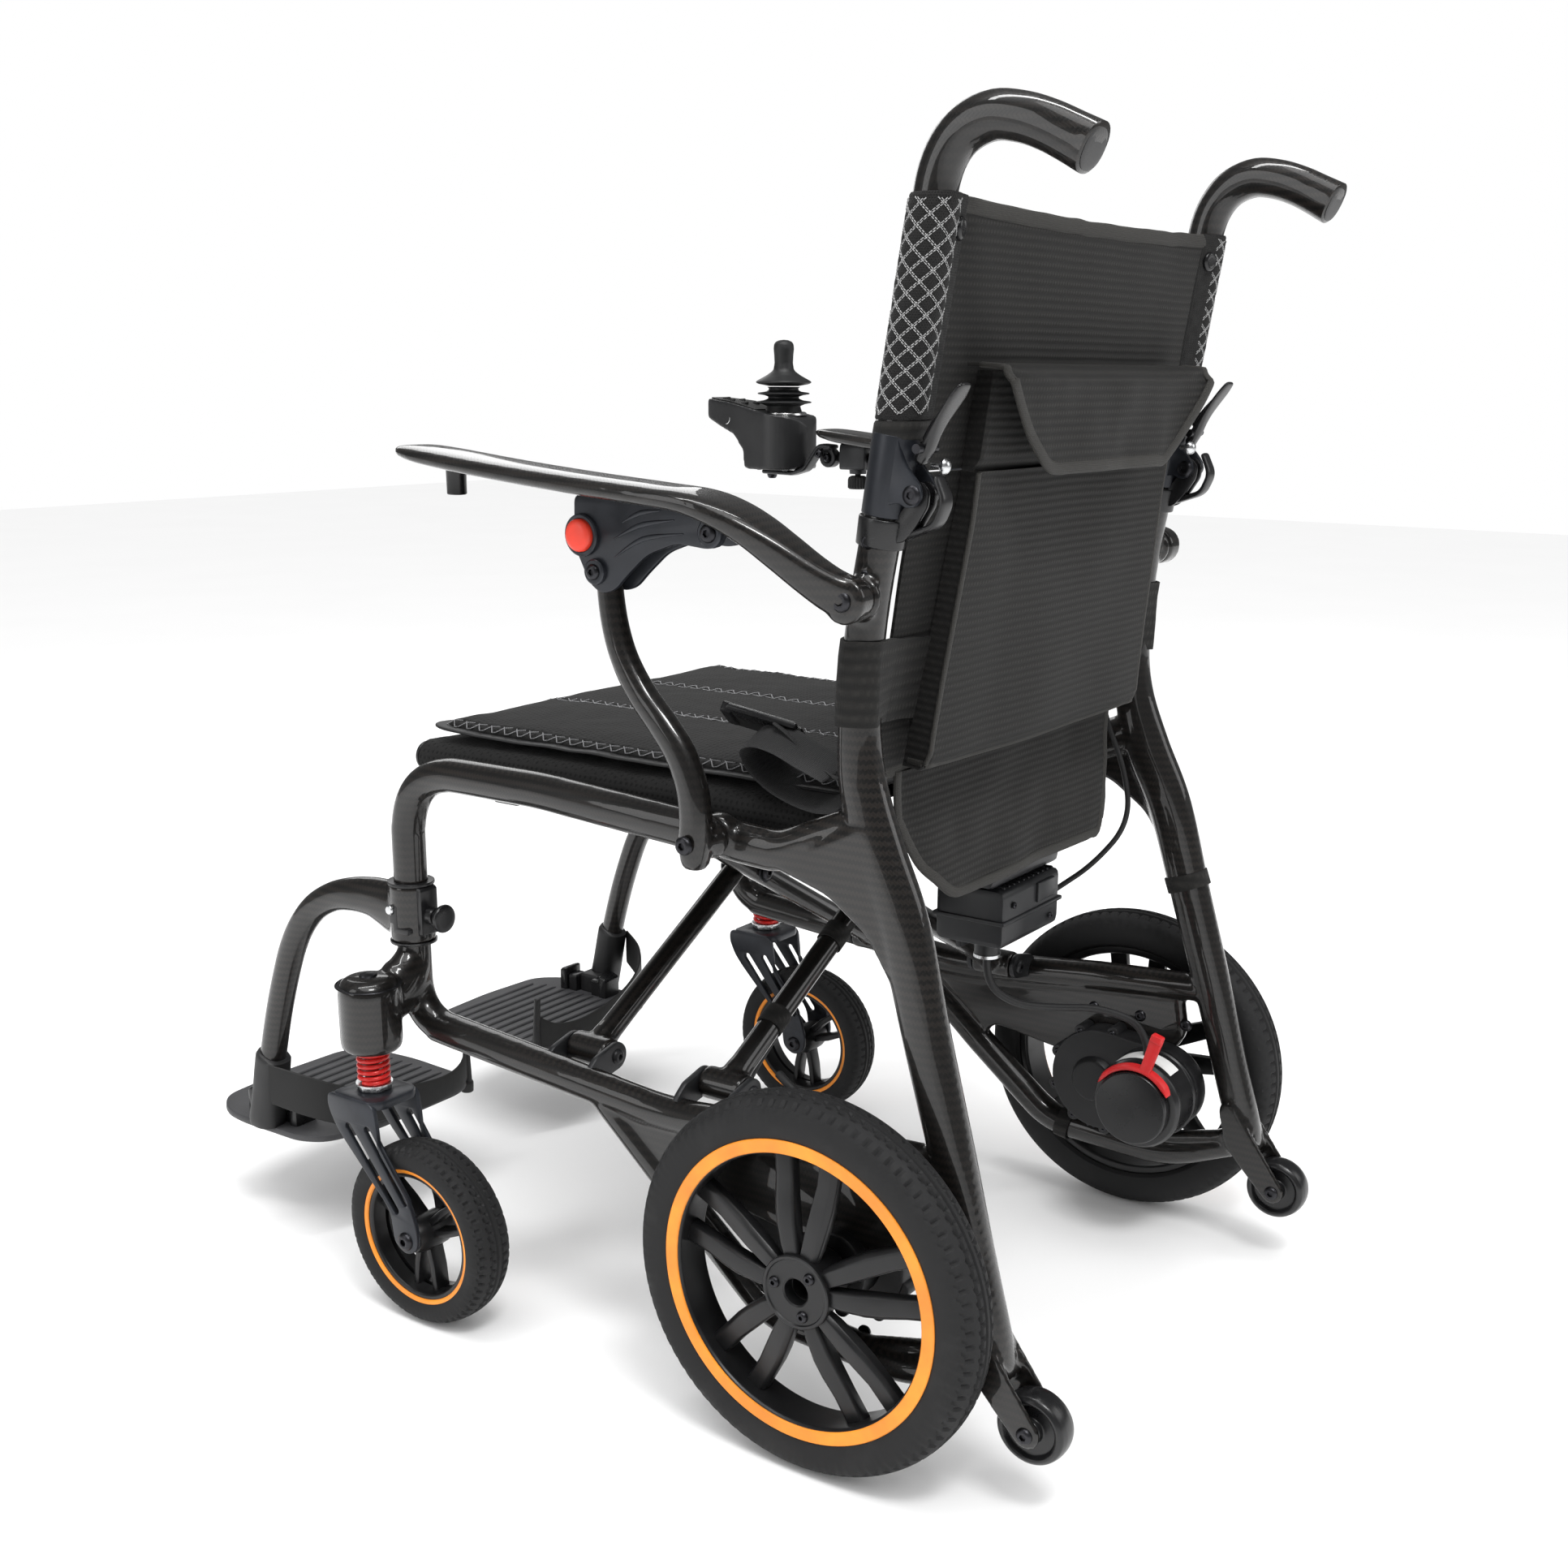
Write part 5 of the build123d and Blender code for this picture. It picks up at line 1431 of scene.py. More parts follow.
def sling_point(u, v):
    x, z = sling_line(u)
    y = -177 + 428 * v
    edge = max(0.0, (abs(x) - 150) / 65)
    z += 1.1 * ripple(x, y, 38, 2.0) + edge * 0.8 * ripple(x, y, 13, 5.0)
    x += 1.4 * edge * ripple(y, z, 24, 8.0)
    return Vector((x, y, z))


sling = make("seat_sling_cloth", [drape(sling_point, steps(0, 1, 150), steps(0, 1, 110), 2.2)], DIMPLED,
    replaces=["seat_sling"], sharp=60)
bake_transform(sling)

# The pad: smooth sides and a dimpled middle, held down along its sewn lines.
SEAMS = (-186.0, -58.0, 58.0, 186.0)


def on_seam(p):
    return p.z < 500 or min(abs(p.x - s) for s in SEAMS) < 3.0 or p.y < -166 or p.y > 244 or abs(p.x) > 188


plan = rounded([(-195, -171), (195, -171), (195, 249), (-195, 249)], 16, 6)
pad = make("seat_pad", [slab(plan, (497.5, 508.5), axis="Z", bevel=4.5)], DIMPLED)
puffed(pad, 4.6, 3.4, 5.0, on_seam)


def seat_shape(p):
    """Crown, sewn lines, hammock sag and small creases of the seat pad."""
    upper = max(0.0, min(1.0, (p.z - 499) / 7))
    seam = max(math_bell(p.x - s, 3.2) for s in SEAMS)
    quilt = 1.5 * abs(cos(pi * (p.y + 171) / 15.0)) ** 3 * max(math_bell(p.x - s, 9) for s in SEAMS)
    across = 1 - (p.x / 205) ** 2
    z = p.z + upper * (3.0 * across - 1.9 * seam + 0.8 * quilt * (1 - seam))
    z += upper * (1.5 * ripple(p.x, p.y, 70, 1.0) + 0.8 * ripple(p.x, p.y, 24, 4.0))
    front = max(0.0, (-p.y - 120) / 55)
    corner = max(0.0, (abs(p.x) - 120) / 80)
    z += 3.2 * front * front * corner - 1.4 * front * (1 - corner)
    return Vector((p.x, p.y, z))


shaped(pad, seat_shape)
settle(pad, None, ["seat_cushion"])


def top_of(obj, x, y, fallback):
    """Height of an object's upper face over a place, in millimetres."""
    hit, place, _, _ = obj.ray_cast(Vector((x, y, 700)) * MM, Vector((0, 0, -1)))
    return place.z / MM if hit else fallback


lip = rounded([(-199, -175), (199, -175), (199, 252), (-199, 252)], 18, 5)
fine_lip = spline([(x, y, 0) for x, y in lip + [lip[0]]], 7)
lip_path = []
for x, y, _ in fine_lip:
    front = max(0.0, (-y - 120) / 55)
    corner = max(0.0, (abs(x) - 120) / 80)
    z = 502.6 + 1.2 * ripple(x, y, 30, 6.0) + 3.6 * front * front * corner - 1.2 * front * (1 - corner)
    lip_path.append((x, y, z))


def ribbon(path, wide, high, power=2.6, sides=12):
    """A closed band of level tape, wide outward from the seat's middle."""
    verts, faces = [], []
    count = len(path) - 1
    for i in range(count):
        before, after = Vector(path[i - 1]), Vector(path[(i + 1) % count])
        ahead = (after - before).normalized()
        outward = ahead.cross(Vector((0, 0, 1))).normalized()
        for k in range(sides):
            a = 2 * pi * k / sides
            c, s = cos(a), sin(a)
            u = abs(c) ** (2 / power) * (1 if c >= 0 else -1)
            v = abs(s) ** (2 / power) * (1 if s >= 0 else -1)
            verts.append(Vector(path[i]) + outward * wide * u + Vector((0, 0, 1)) * high * v)
    for i in range(count):
        for k in range(sides):
            n, m = (k + 1) % sides, (i + 1) % count
            faces.append((i * sides + k, i * sides + n, m * sides + n, m * sides + k))
    return verts, faces


lip_piece = make("seat_pad_binding", [ribbon(lip_path, 6.2, 1.5)], SEAT_BINDING,
    sharp=60)

stitches = []
for line, way in ((190.0, 1), (-190.0, -1), (58.0, 1), (-58.0, -1)):
    for i in range(28):
        y = -160 + 14.6 * i
        wide, long = (5.2, 5.0) if abs(line) > 100 else (4.8, 5.2)
        for a, b in (((-1, -1), (1, 1)), ((-1, 1), (1, -1))):
            ends = []
            for dx, dy in (a, (0, 0), b):
                px, py = line + dx * wide, y + dy * long
                ends.append((px, py, top_of(pad, px, py, 506) + 0.35 + (0.5 if (dx, dy) == (0, 0) else 0)))
            stitches.append(thread(ends, 0.5))
        ends = []
        for px, py in ((line + 5.2 * way, y + 5.0), (line + 7.6 * way, y + 7.3),
                (line + 5.2 * way, y + 9.6)):
            ends.append((px, py, top_of(pad, px, py, 506) + 0.4))
        stitches.append(thread(ends, 0.5))
stitch_piece = make("seat_pad_stitches", stitches, THREAD)
for piece in (pad, lip_piece, stitch_piece):
    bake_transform(piece)


# ---------------------------------------------------------------- back fabric
def panel_y(x, z):
    """Rear face of the back fabric between the posts."""
    base = back_y(z) + 8
    base += 3.0 * cos(pi * x / 412) * (0.4 + 0.6 * sin(pi * (z - 500) / 420))
    return base + 1.3 * ripple(x, z, 60, 3.0)


def upper_point(u, v):
    x = -207 + 414 * u
    top = 908.5 - 4.2 * (1 - (x / 207) ** 2) + 0.8 * ripple(x, 0, 24, 9.0)
    z = 736 + (top - 736) * v
    return Vector((x, panel_y(x, z), z))


upper = make("back_upper_cloth", [drape(upper_point, steps(0, 1, 110), steps(0, 1, 70), 2.6)], RIBBED,
    "left_back", ["back_sling_upper"], sharp=60)
upper_hem = make("back_upper_hem", [hem(upper_point, [(u, 0.985) for u in steps(0.01, 0.99, 24)], 5.5,
    2.3)], BINDING, "left_back", sharp=60)


def lower_point(u, v):
    half = 207 - 3 * v
    x = -half + 2 * half * u
    z = 514 + 220.4 * v + 5 * (1 - v) * sin(pi * u)
    return Vector((x, panel_y(x, z) - 1.0, z))


lower = make("back_lower_cloth", [drape(lower_point, steps(0, 1, 110), steps(0, 1, 70), 2.6)], RIBBED,
    "left_side", ["back_sling_lower"], sharp=60)
lower_hem = make("back_lower_hem", [hem(lower_point, [(u, 0.015) for u in steps(0.01, 0.99, 24)], 5, 2.2)],
    BINDING, "left_side", sharp=60)


TAIL_FOOT = [(-182, 470), (-180, 440), (-172, 418), (-152, 409), (100, 409), (138, 434), (163, 461),
    (170, 480)]


def tail_low(x):
    """Lower edge of the tail flap: level, rounded at the right, cut away at the left."""
    for (a, low), (b, high) in zip(TAIL_FOOT, TAIL_FOOT[1:]):
        if x <= b:
            return low + (high - low) * max(0.0, (x - a) / (b - a))
    return TAIL_FOOT[-1][1]


def tail_point(u, v):
    x = -182 + 352 * u
    low = tail_low(x)
    z = low + (517 - low) * v
    free = (517 - z) / 108
    y = back_y(z) + 11 + 26 * free ** 1.3 + 2.2 * ripple(x, z, 45, 11.0) + free * 6 * ripple(x, z, 90, 12.0)
    return Vector((x, y, z))


tail = make("tail_flap_cloth", [drape(tail_point, steps(0, 1, 90), steps(0, 1, 36), 2.2)], RIBBED,
    "left_side", sharp=60)
tail_line = [(0.0, v) for v in steps(1.0, 0.0, 12)] + [(u, 0.0) for u in steps(0.06, 0.94, 14)] + [(1.0,
    v) for v in steps(0.0, 1.0, 12)]
tail_hem = make("tail_flap_hem", [hem(tail_point, tail_line, 4.5, 2.0)], BINDING, "left_side",
    sharp=60)

# ---------------------------------------------------------------- pocket with its flap
def pocket_half(z):
    """Half width of the pocket, growing toward its foot."""
    return 160 + 16 * max(0.0, min(1.0, (700 - z) / 179))


def pocket_rear_y(x, z):
    """Rear face of the pocket behind the line of the back tubes."""
    folds = 1.7 * ripple(x, z / 2.6, 60, 21.0) + 2.4 * ripple(x, z / 2.0, 110, 22.0)
    return back_y(z) + 29 + 11 * max(0.0, (740 - z) / 219) + folds


def pocket_form(low, high, name, body, replaces=()):
    """Rear wall of the pocket with gussets that turn in to the back fabric."""

    def rear(u, v):
        s = 2 * u - 1
        fold = max(0.0, (abs(s) - 0.9) / 0.1)
        z = low + (high - low) * v
        x = (pocket_half(z) * min(1.0, abs(s) / 0.9) - 10 * fold) * (1 if s > 0 else -1)
        z -= 6.0 * (1 - v) * (1 - (x / 176) ** 2)
        base = panel_y(x, z) + 2.5
        foot = min(1.0, max(0.0, (z - low + 7) / 14)) ** 0.5
        return Vector((x, base + (pocket_rear_y(x, z) - base) * foot * (1 - fold), z))

    us = [0.5 - 0.5 * cos(pi * u) for u in steps(0, 1, 120)]
    sheet = drape(rear, us, steps(0, 1, max(12, int((high - low) / 3))), 2.0)
    return make(name, [sheet], RIBBED, body, replaces, sharp=60), rear


pocket, pocket_rear = pocket_form(522, 734.4, "pocket_cloth", "left_side", ["back_pocket"])
pocket_top, _ = pocket_form(735.6, 802, "pocket_top_cloth", "left_back")
pocket_edges = []
for u in (0.05, 0.95):
    pocket_edges.append(hem(pocket_rear, [(u, v) for v in steps(0.02, 0.995, 24)], 2.6, 1.5))
pocket_edges.append(hem(pocket_rear, [(u, 0.02) for u in steps(0.01, 0.99, 24)], 2.8, 1.6))
pocket_hem = make("pocket_hem", pocket_edges, BINDING, "left_side", sharp=60)


def flap_reach(x):
    """Lower edge of the pocket flap: straight in the middle, swept up at its corners."""
    far = max(0.0, (abs(x) - 97) / 75)
    return 734 + 62 * far ** 1.3


def flap_point(u, v):
    x = -172 + 344 * u
    low = flap_reach(x)
    z = low + (806 - low) * v
    over = 30 * min(1.0, (1 - v) / 0.16) ** 0.5 if v < 1 else 0.0
    curl = 9 * (1 - v) ** 2 + 2.6 * ripple(x, z, 46, 31.0)
    y = panel_y(x, z) + 3.4 + over * (1 + 0.02 * ripple(x, z, 30,
        3.0)) + curl * (1 if v < 0.98 else 0.3) + 2.5
    return Vector((x, y, z))


flap_us = [0.5 - 0.5 * cos(pi * u) for u in steps(0, 1, 110)]
flap_vs = [1 - (1 - v) ** 2 if v > 0.5 else v * 1.5 for v in steps(0, 1, 44)]
flap = make("pocket_flap_cloth", [drape(flap_point, flap_us, flap_vs, 2.4)], RIBBED, "left_back",
    sharp=60)
flap_line = [(0.004, v) for v in steps(0.98, 0.02, 14)] + [(u, 0.012) for u in flap_us[6:-6:4]] + [(0.996,
    v) for v in steps(0.02, 0.98, 14)]
flap_hem = make("pocket_flap_hem", [hem(flap_point, flap_line, 4.8, 2.0, 4)], BINDING, "left_back",
    sharp=60)


# ---------------------------------------------------------------- sleeves round the back tubes
def tube_place(z):
    """Axis of the left back tube at a height on its straight part."""
    return Vector((226 - 3.5 * (z - 708) / 182, back_y(z), z))


SLEEVE_R = 17.0
TILE = 13.7


def sleeve_ring(radius, tongue, count=84):
    """Outline of the sleeve: round the tube, with a flat tongue inward to the back fabric."""
    shape = hull([(0, 0, radius), (-25, 8.2, tongue)], 56)
    lengths = [0.0]
    for a, b in zip(shape, shape[1:] + shape[:1]):
        lengths.append(lengths[-1] + hypot(b[0] - a[0], b[1] - a[1]))
    out, k = [], 0
    for i in range(count):
        target = lengths[-1] * i / count
        while lengths[k + 1] < target:
            k += 1
        t = (target - lengths[k]) / (lengths[k + 1] - lengths[k])
        a, b = shape[k], shape[(k + 1) % len(shape)]
        out.append((a[0] + (b[0] - a[0]) * t, a[1] + (b[1] - a[1]) * t))
    return out


def quilt_phase(angle, z):
    """The two diagonals of the sleeve's sewn diamonds."""
    around = angle * SLEEVE_R
    return (z + around * 0.9) / TILE, (z - around * 0.9) / TILE


def sleeve_mesh(low, high, puff):
    """Outer and inner faces of a sleeve, joined at both ends."""
    verts, faces = [], []
    count = 84
    rows = steps(low, high, int((high - low) / 1.5))
    for radius, tongue, outside in ((SLEEVE_R, 1.9, True), (14.6, 0.7, False)):
        outline = sleeve_ring(radius, tongue, count)
        for row, z in enumerate(rows):
            centre = tube_place(z)
            end = min(row, len(rows) - 1 - row)
            for x, y in outline:
                away = Vector((x, y, 0))
                lift = 0.0
                if outside:
                    if puff and -23 < x and 3 < end:
                        p, q = quilt_phase(atan2(y, x), z)
                        lift = 0.9 * (abs(sin(pi * p)) * abs(sin(pi * q))) ** 0.6 - 0.25
                    lift += 0.5 * ripple(x * 2, z, 16, 41.0) - (0.8 if end == 0 else 0.0)
                verts.append(centre + away + away.normalized() * lift)
    size = len(rows) * count
    for i in range(len(rows) - 1):
        for k in range(count):
            n = (k + 1) % count
            quad = (i * count + k, i * count + n, (i + 1) * count + n, (i + 1) * count + k)
            faces.append(quad)
            faces.append(tuple(size + f for f in reversed(quad)))
    for first in (0, size - count):
        for k in range(count):
            n = (k + 1) % count
            faces.append((first + k, first + n, size + first + n, size + first + k))
    return verts, faces


def diamond_threads(low, high):
    """Paired dashed threads along both diagonals, from the sleeve's outer face to its rear."""
    parts = []
    first, last = radians(-62), radians(118)
    for way in (1, -1):
        for number in range(int((low - 80) / TILE), int((high + 80) / TILE) + 1):
            for offset in (-0.8, 0.8):
                arc, dash, gap = first, 2.3, 0.75
                while arc < last:
                    step = dash / (SLEEVE_R * hypot(1, 0.9))
                    ends = []
                    for a in (arc, arc + step / 2, arc + step):
                        z = number * TILE - way * a * SLEEVE_R * 0.9 + offset
                        centre = tube_place(z)
                        shift = SLEEVE_R + 0.28 + (0.2 if a == arc + step / 2 else 0.0)
                        ends.append((centre.x + cos(a) * shift, centre.y + sin(a) * shift, z))
                    if low + 3 < ends[0][2] < high - 3 and low + 3 < ends[2][2] < high - 3:
                        parts.append(thread(ends, 0.36, 4))
                    arc += step + gap / (SLEEVE_R * hypot(1, 0.9))
    return parts


sleeve_form = sleeve_mesh(770, 911, True)
cuff_form = sleeve_mesh(756, 769.4, False)
sleeve_threads = diamond_threads(770, 911)
for side, sign in SIDES:
    flip = sign < 0
    sleeve = make(f"{side}_sleeve_cloth", [sleeve_form], SLEEVE_CLOTH, f"{side}_back",
        sharp=60, mirror=flip)
    make(f"{side}_sleeve_cuff", [cuff_form], BAND_CLOTH, f"{side}_back", sharp=60,
        mirror=flip)
    make(f"{side}_sleeve_stitches", sleeve_threads, WHITE_THREAD, f"{side}_back",
        mirror=flip)
    snap_at = Vector((207.5, back_y(890) + 13.6, 890))
    snap = [lathe(round_profile([(-1, 7.6), (1.4, 7.6), (2.8, 5.6), (2.2, 3.6), (2.2, 0)], 0.8), snap_at,
        (-0.25, 0.96, -0.1), 40)]
    make(f"{side}_sleeve_snap", snap, SMOOTH_BLACK, f"{side}_back", mirror=flip)

for piece in (upper, upper_hem, lower, lower_hem, tail, tail_hem, pocket, pocket_top, pocket_hem, flap,
        flap_hem):
    squashed(piece)
# ---------------------------------------------------------------- bands, belt and buckle
def post_place(z):
    """Axis of the left post between seat and hinge."""
    rows = [(474, 231, 297, 20.5), (520, 229, 282, 18), (562, 228, 278, 15.5), (610, 228, 280, 14.6),
        (655, 227, 285, 14.2)]
    for low, high in zip(rows, rows[1:]):
        if z <= high[0]:
            t = (z - low[0]) / (high[0] - low[0])
            return [a + (b - a) * t for a, b in zip(low[1:], high[1:])]
    return list(rows[-1][1:])


def band_ring(z):
    """Lumbar band at one height: round the post's outer side and inward over the back fabric."""
    x, y, deep = post_place(z)
    out = [(124, panel_y(124, z) + 2.2), (150, panel_y(150, z) + 2.4), (190, panel_y(190, z) + 2.2),
        (204, panel_y(204, z) + 3.5)]
    for k in range(13):
        a = radians(72 - 190 * k / 12)
        out.append((x + 16.6 * cos(a), y + (deep + 2.2) * sin(a)))
    out += [(x - 24, y - deep * 0.7), (190, y - 8)]
    return out


def band_point(u, v):
    low, high = 562.0, 622.0
    z = low + (high - low) * v
    ring = band_ring(z)
    lengths = [0.0]
    for a, b in zip(ring, ring[1:]):
        lengths.append(lengths[-1] + hypot(b[0] - a[0], b[1] - a[1]))
    target = lengths[-1] * u
    k = 0
    while k < len(ring) - 2 and lengths[k + 1] < target:
        k += 1
    t = (target - lengths[k]) / (lengths[k + 1] - lengths[k])
    x = ring[k][0] + (ring[k + 1][0] - ring[k][0]) * t
    y = ring[k][1] + (ring[k + 1][1] - ring[k][1]) * t
    wave = 0.5 * ripple(u * 160, z, 14, 51.0)
    skew = -8 * (1 - min(1.0, u / 0.45))
    return Vector((x, y + wave, z + skew + 1.2 * ripple(u * 200, v * 3, 22, 52.0)))


for side, sign in SIDES:
    flip = sign < 0
    band = make(f"{side}_lumbar_band", [drape(band_point, steps(0, 1, 90), steps(0, 1, 24), 2.4)],
        BAND_CLOTH, f"{side}_side", sharp=60, mirror=flip)


def belt_loop(points, wide, thick=1.4, lean=(0, 0, 1)):
    return sweep([(*p, wide, thick) for p in points], spacing=4, sides=12, side=lean, power=4, caps=0.1)


belt = [
    belt_loop([(214, 262, 502), (209, 240, 498), (205, 215, 500), (203, 190, 508), (204, 172, 522),
        (209, 171, 535), (214, 184, 541), (216, 204, 539), (216, 226, 531), (215, 250, 522)], 19, 1.2,
        (0.9, 0.1, -0.3)),
    belt_loop([(213, 262, 512), (204, 236, 520), (198, 208, 536), (196, 190, 545)], 17, 1.2,
        (0.8, -0.2, 0.4)),
]
belt_piece = make("lap_belt", belt, WEBBING, "left_side", sharp=50)
buckle = [
    brick((-20, 20), (-29, 29), (-3.2, 3.2), 2.2),
    brick((-15, 15), (-34, -24), (-4.6, 4.6), 1.6),
    brick((-13, 13), (18, 32), (-2.2, 2.2), 1.2),
    lathe([(2.6, 0), (2.6, 6.5), (4.2, 6.2), (4.2, 0)], (0, -6, 0), "Z", 32),
]
seat_buckle = Matrix.Translation((193, 172, 545)) @ Matrix.Rotation(radians(14), 4,
    "Z") @ Matrix.Rotation(radians(-12), 4, "X") @ Matrix.Rotation(radians(-30), 4, "Y")
make("belt_buckle", [moved(b, seat_buckle) for b in buckle], SMOOTH_BLACK, "left_side")

# ---------------------------------------------------------------- drive controller on the right armrest
JX = STICK.x
side_view = [
    (-239, 764), (-237.5, 770), (-232, 773.5), (-200, 770), (-182, 766.5), (-160, 762), (-146, 759.5),
    (-126, 757), (-118, 754), (-114.5, 748),
    (-113.5, 716), (-117, 706.5), (-124, 704), (-172, 704), (-177, 706), (-178.5, 722), (-192, 738),
    (-219, 748.5), (-234, 754), (-238, 758),
]
plan_view = hull([(JX, -148, 34), (JX, -206, 24.5), (JX, -220, 20)], 40)
body = solid_pair(slab(rounded(side_view, 2.5, 3), (JX - 36, JX + 36), bevel=0.5),
    slab(plan_view, (690, 790), axis="Z", bevel=0.5))
housing = make("controller_body_form", [body], BLACK_PLASTIC)
remesh = housing.modifiers.new("skin", "REMESH")
remesh.mode = "VOXEL"
remesh.voxel_size = 1.2 * MM
soften = housing.modifiers.new("soften", "SMOOTH")
soften.factor = 0.6
soften.iterations = 5
baked(housing)
housing.name = "controller_body"
housing.data.materials.clear()
housing.data.materials.append(SATIN_SHELL)
housing.data.shade_smooth()
settle(housing, "joystick_mount", ["joystick_housing"])

top_line = [(-235, 771.6), (-232, 774.6), (-200, 771.2), (-182, 767.6), (-165, 763.6), (-165, 761.0),
    (-182, 764.6), (-200, 768), (-232, 771)]
panel = solid_pair(slab(top_line, (JX - 36, JX + 36), bevel=0.2),
    slab(hull([(JX, -150, 29), (JX, -206, 21), (JX, -219, 17)], 40), (740, 790), axis="Z", bevel=0.3))
make("controller_keypad", [panel], GLOSS_BLACK, "joystick_mount", sharp=50)
tilt = Vector((0, -0.1, 1)).normalized()
keys = []
for kx, ky, radius in ((-10, -190, 4.2), (10, -190, 4.2), (-9, -207, 3.6), (9, -207, 3.6), (0, -221, 4.6)):
    kz = 774.6 - 3.4 * (ky + 232) / 32 if ky < -200 else 771.2 - 3.6 * (ky + 200) / 18
    keys.append(lathe(round_profile([(-0.6, radius), (0.8, radius), (1.3, radius - 1), (1.3, 0)], 0.5),
        (JX + kx, ky, kz), tilt, 32))
make("controller_keys", keys, SOFT_RUBBER, "joystick_mount")
trims = [lathe(round_profile([(-1, 21.5), (-1, 24.2), (1.6, 23.6), (2.6, 21.6), (2.6, 19)], 0.6),
    (JX, -148, 758.5), "Z", 72)]
jack_out = Vector((0.96, -0.22, 0.05)).normalized()
jack_at = Vector((JX + 23.6, -203, 754))
trims.append(lathe(round_profile([(-2, 6.8), (1.0, 6.8), (1.6, 5.6), (0.6, 4.6), (-1, 4.2)], 0.5), jack_at,
    jack_out, 40))
make("controller_trim", trims, CHROME, "joystick_mount")
make("controller_jack", [lathe([(-2, 4.9), (0.3, 4.9), (0.9, 3.6), (1.0, 0)], jack_at, jack_out, 32)],
    JACK_FACE, "joystick_mount")
screws = [bolt((JX + dx, dy, 704.4), (0, 0, -1), 3.2, 1.4) for dx, dy in ((-20, -164), (20, -164),
    (20, -132), (-20, -132))]
make("controller_screws", screws, DARK_STEEL, "joystick_mount")

rod = sweep([(JX, -8, 717, 4.8, 4.8), (JX, -50, 717, 4.8, 4.8), (JX, -82, 717, 4.8, 4.8),
    (JX, -88, 717.5, 6, 5.4)], spacing=5, sides=24, caps=0.2)
hook = sweep(
    bend([(JX + 9, -80, 728, 8, 2.4), (JX + 9, -94, 729, 8, 2.4), (JX + 9, -112, 705, 8, 2.4),
        (JX + 6, -130, 700.4, 8, 2.4), (JX, -168, 700.8, 8, 2.4)], [9, 12, 10], 6),
    spacing=3, sides=20, power=4, caps=0.3,
)
eye_ring = lathe(round_profile([(-6, 5.0), (-6, 9.6), (6, 9.6), (6, 5.0)], 1), (JX + 4, -87, 717), "X", 40)
fused("controller_arm", [rod, hook, eye_ring], BLACK_METAL, voxel=1.0, rounds=2, body="joystick_mount",
    replaces=["joystick_arm"], slot="black_metal")
heads = [bolt((JX, -162, 698.6), (0, 0, -1), 5.2, 4.6), bolt((JX + 17.4, -92, 721), (1, 0, 0), 4.6, 3),
    bolt((JX + 10.4, -87, 717), (1, 0, 0), 4.2, 2.6)]
make("controller_arm_bolts", heads, DARK_STEEL, "joystick_mount")

grip = [(10, 0), (11, 20), (16, 24.5), (20, 27.4), (22, 28.2), (23.4, 27.6)]
bellows = [
    (-1, 0), (-1, 19.6), (3, 19.4), (7, 18), (9.6, 17.2), (11.6, 22), (12.8, 28.4), (13.8, 28.8),
    (14.4, 27.4), (15.4, 20), (17, 16), (19, 15.8),
    (20.4, 20), (21.4, 26.4), (22.4, 26.8), (23, 25.4), (24, 18), (25.4, 15.4), (27.4, 15.2), (28.6, 17),
    (28.6, 0),
]
make("joystick_bellows", [lathe(round_profile(bellows, 0.5, 2), (JX, -148, 757), "Z", 72)], BOOT_RUBBER,
    "joystick_boot_body", ["joystick_boot"], sharp=60)
knob = [
    (29.4, 0), (29.4, 15), (31.4, 26), (32.6, 28.2), (33.6, 28.4), (34.8, 27), (40, 17.4), (43.6, 12.2),
    (46, 10.4), (52, 9.4), (60, 9.8), (66, 10.4),
    (70.6, 9.9), (73, 8), (74.4, 4.4), (74.8, 0),
]
make("joystick_knob", [lathe(round_profile(knob, 1.2, 3), (JX, -148, 757), "Z", 72)], BOOT_RUBBER,
    "joystick_grip", ["joystick_stick"], sharp=60)

clamp_shape = rounded([(706, JX - 12.5), (727, JX - 12.5), (731.5, JX - 11), (731.5, JX + 11),
    (727, JX + 12.5), (706, JX + 12.5)], 3)
clamp_part = slab(clamp_shape, (-71, -41), [circle(717, JX, 5.6, 32)], "Y", 1.2)
make("controller_clamp", [clamp_part, lathe([(-702, 5.4), (-702, 8.4), (-706.5, 8.8), (-706.5, 5.4)],
    (JX, -56, 0), (0, 0, -1), 40)], BLACK_METAL, "right_arm")


def knurled(a, r, angle):
    return (a, r + 0.55 * cos(22 * angle)) if r > 8.6 else (a, r)


thumb = [(-713, 0), (-713, 2.9), (-700, 2.9), (-700, 6.6), (-698.6, 8.8), (-696, 9.6), (-688.4, 9.6),
    (-687, 8.4), (-686.8, 0)]
make("clamp_thumb_screw", [lathe(thumb, (JX, -56, 0), (0, 0, -1), 132, knurled)], SOFT_RUBBER,
    "clamp_screw", ["thumb_screw"])
boss = [(-734, 0), (-734, 9.2), (-731, 7.9), (-708.6, 7.6), (-708, 7), (-708, 3.1), (-722, 3), (-722, 0)]
make("accessory_boss", [lathe(boss, (266, -69, 0), (0, 0, -1), 48)], SMOOTH_BLACK, "left_arm")
make("accessory_boss_insert", [lathe([(-720, 3.0), (-720, 4.6), (-707.7, 4.6), (-707.7, 3.0)],
    (266, -69, 0), (0, 0, -1), 40)], ZINC, "left_arm")

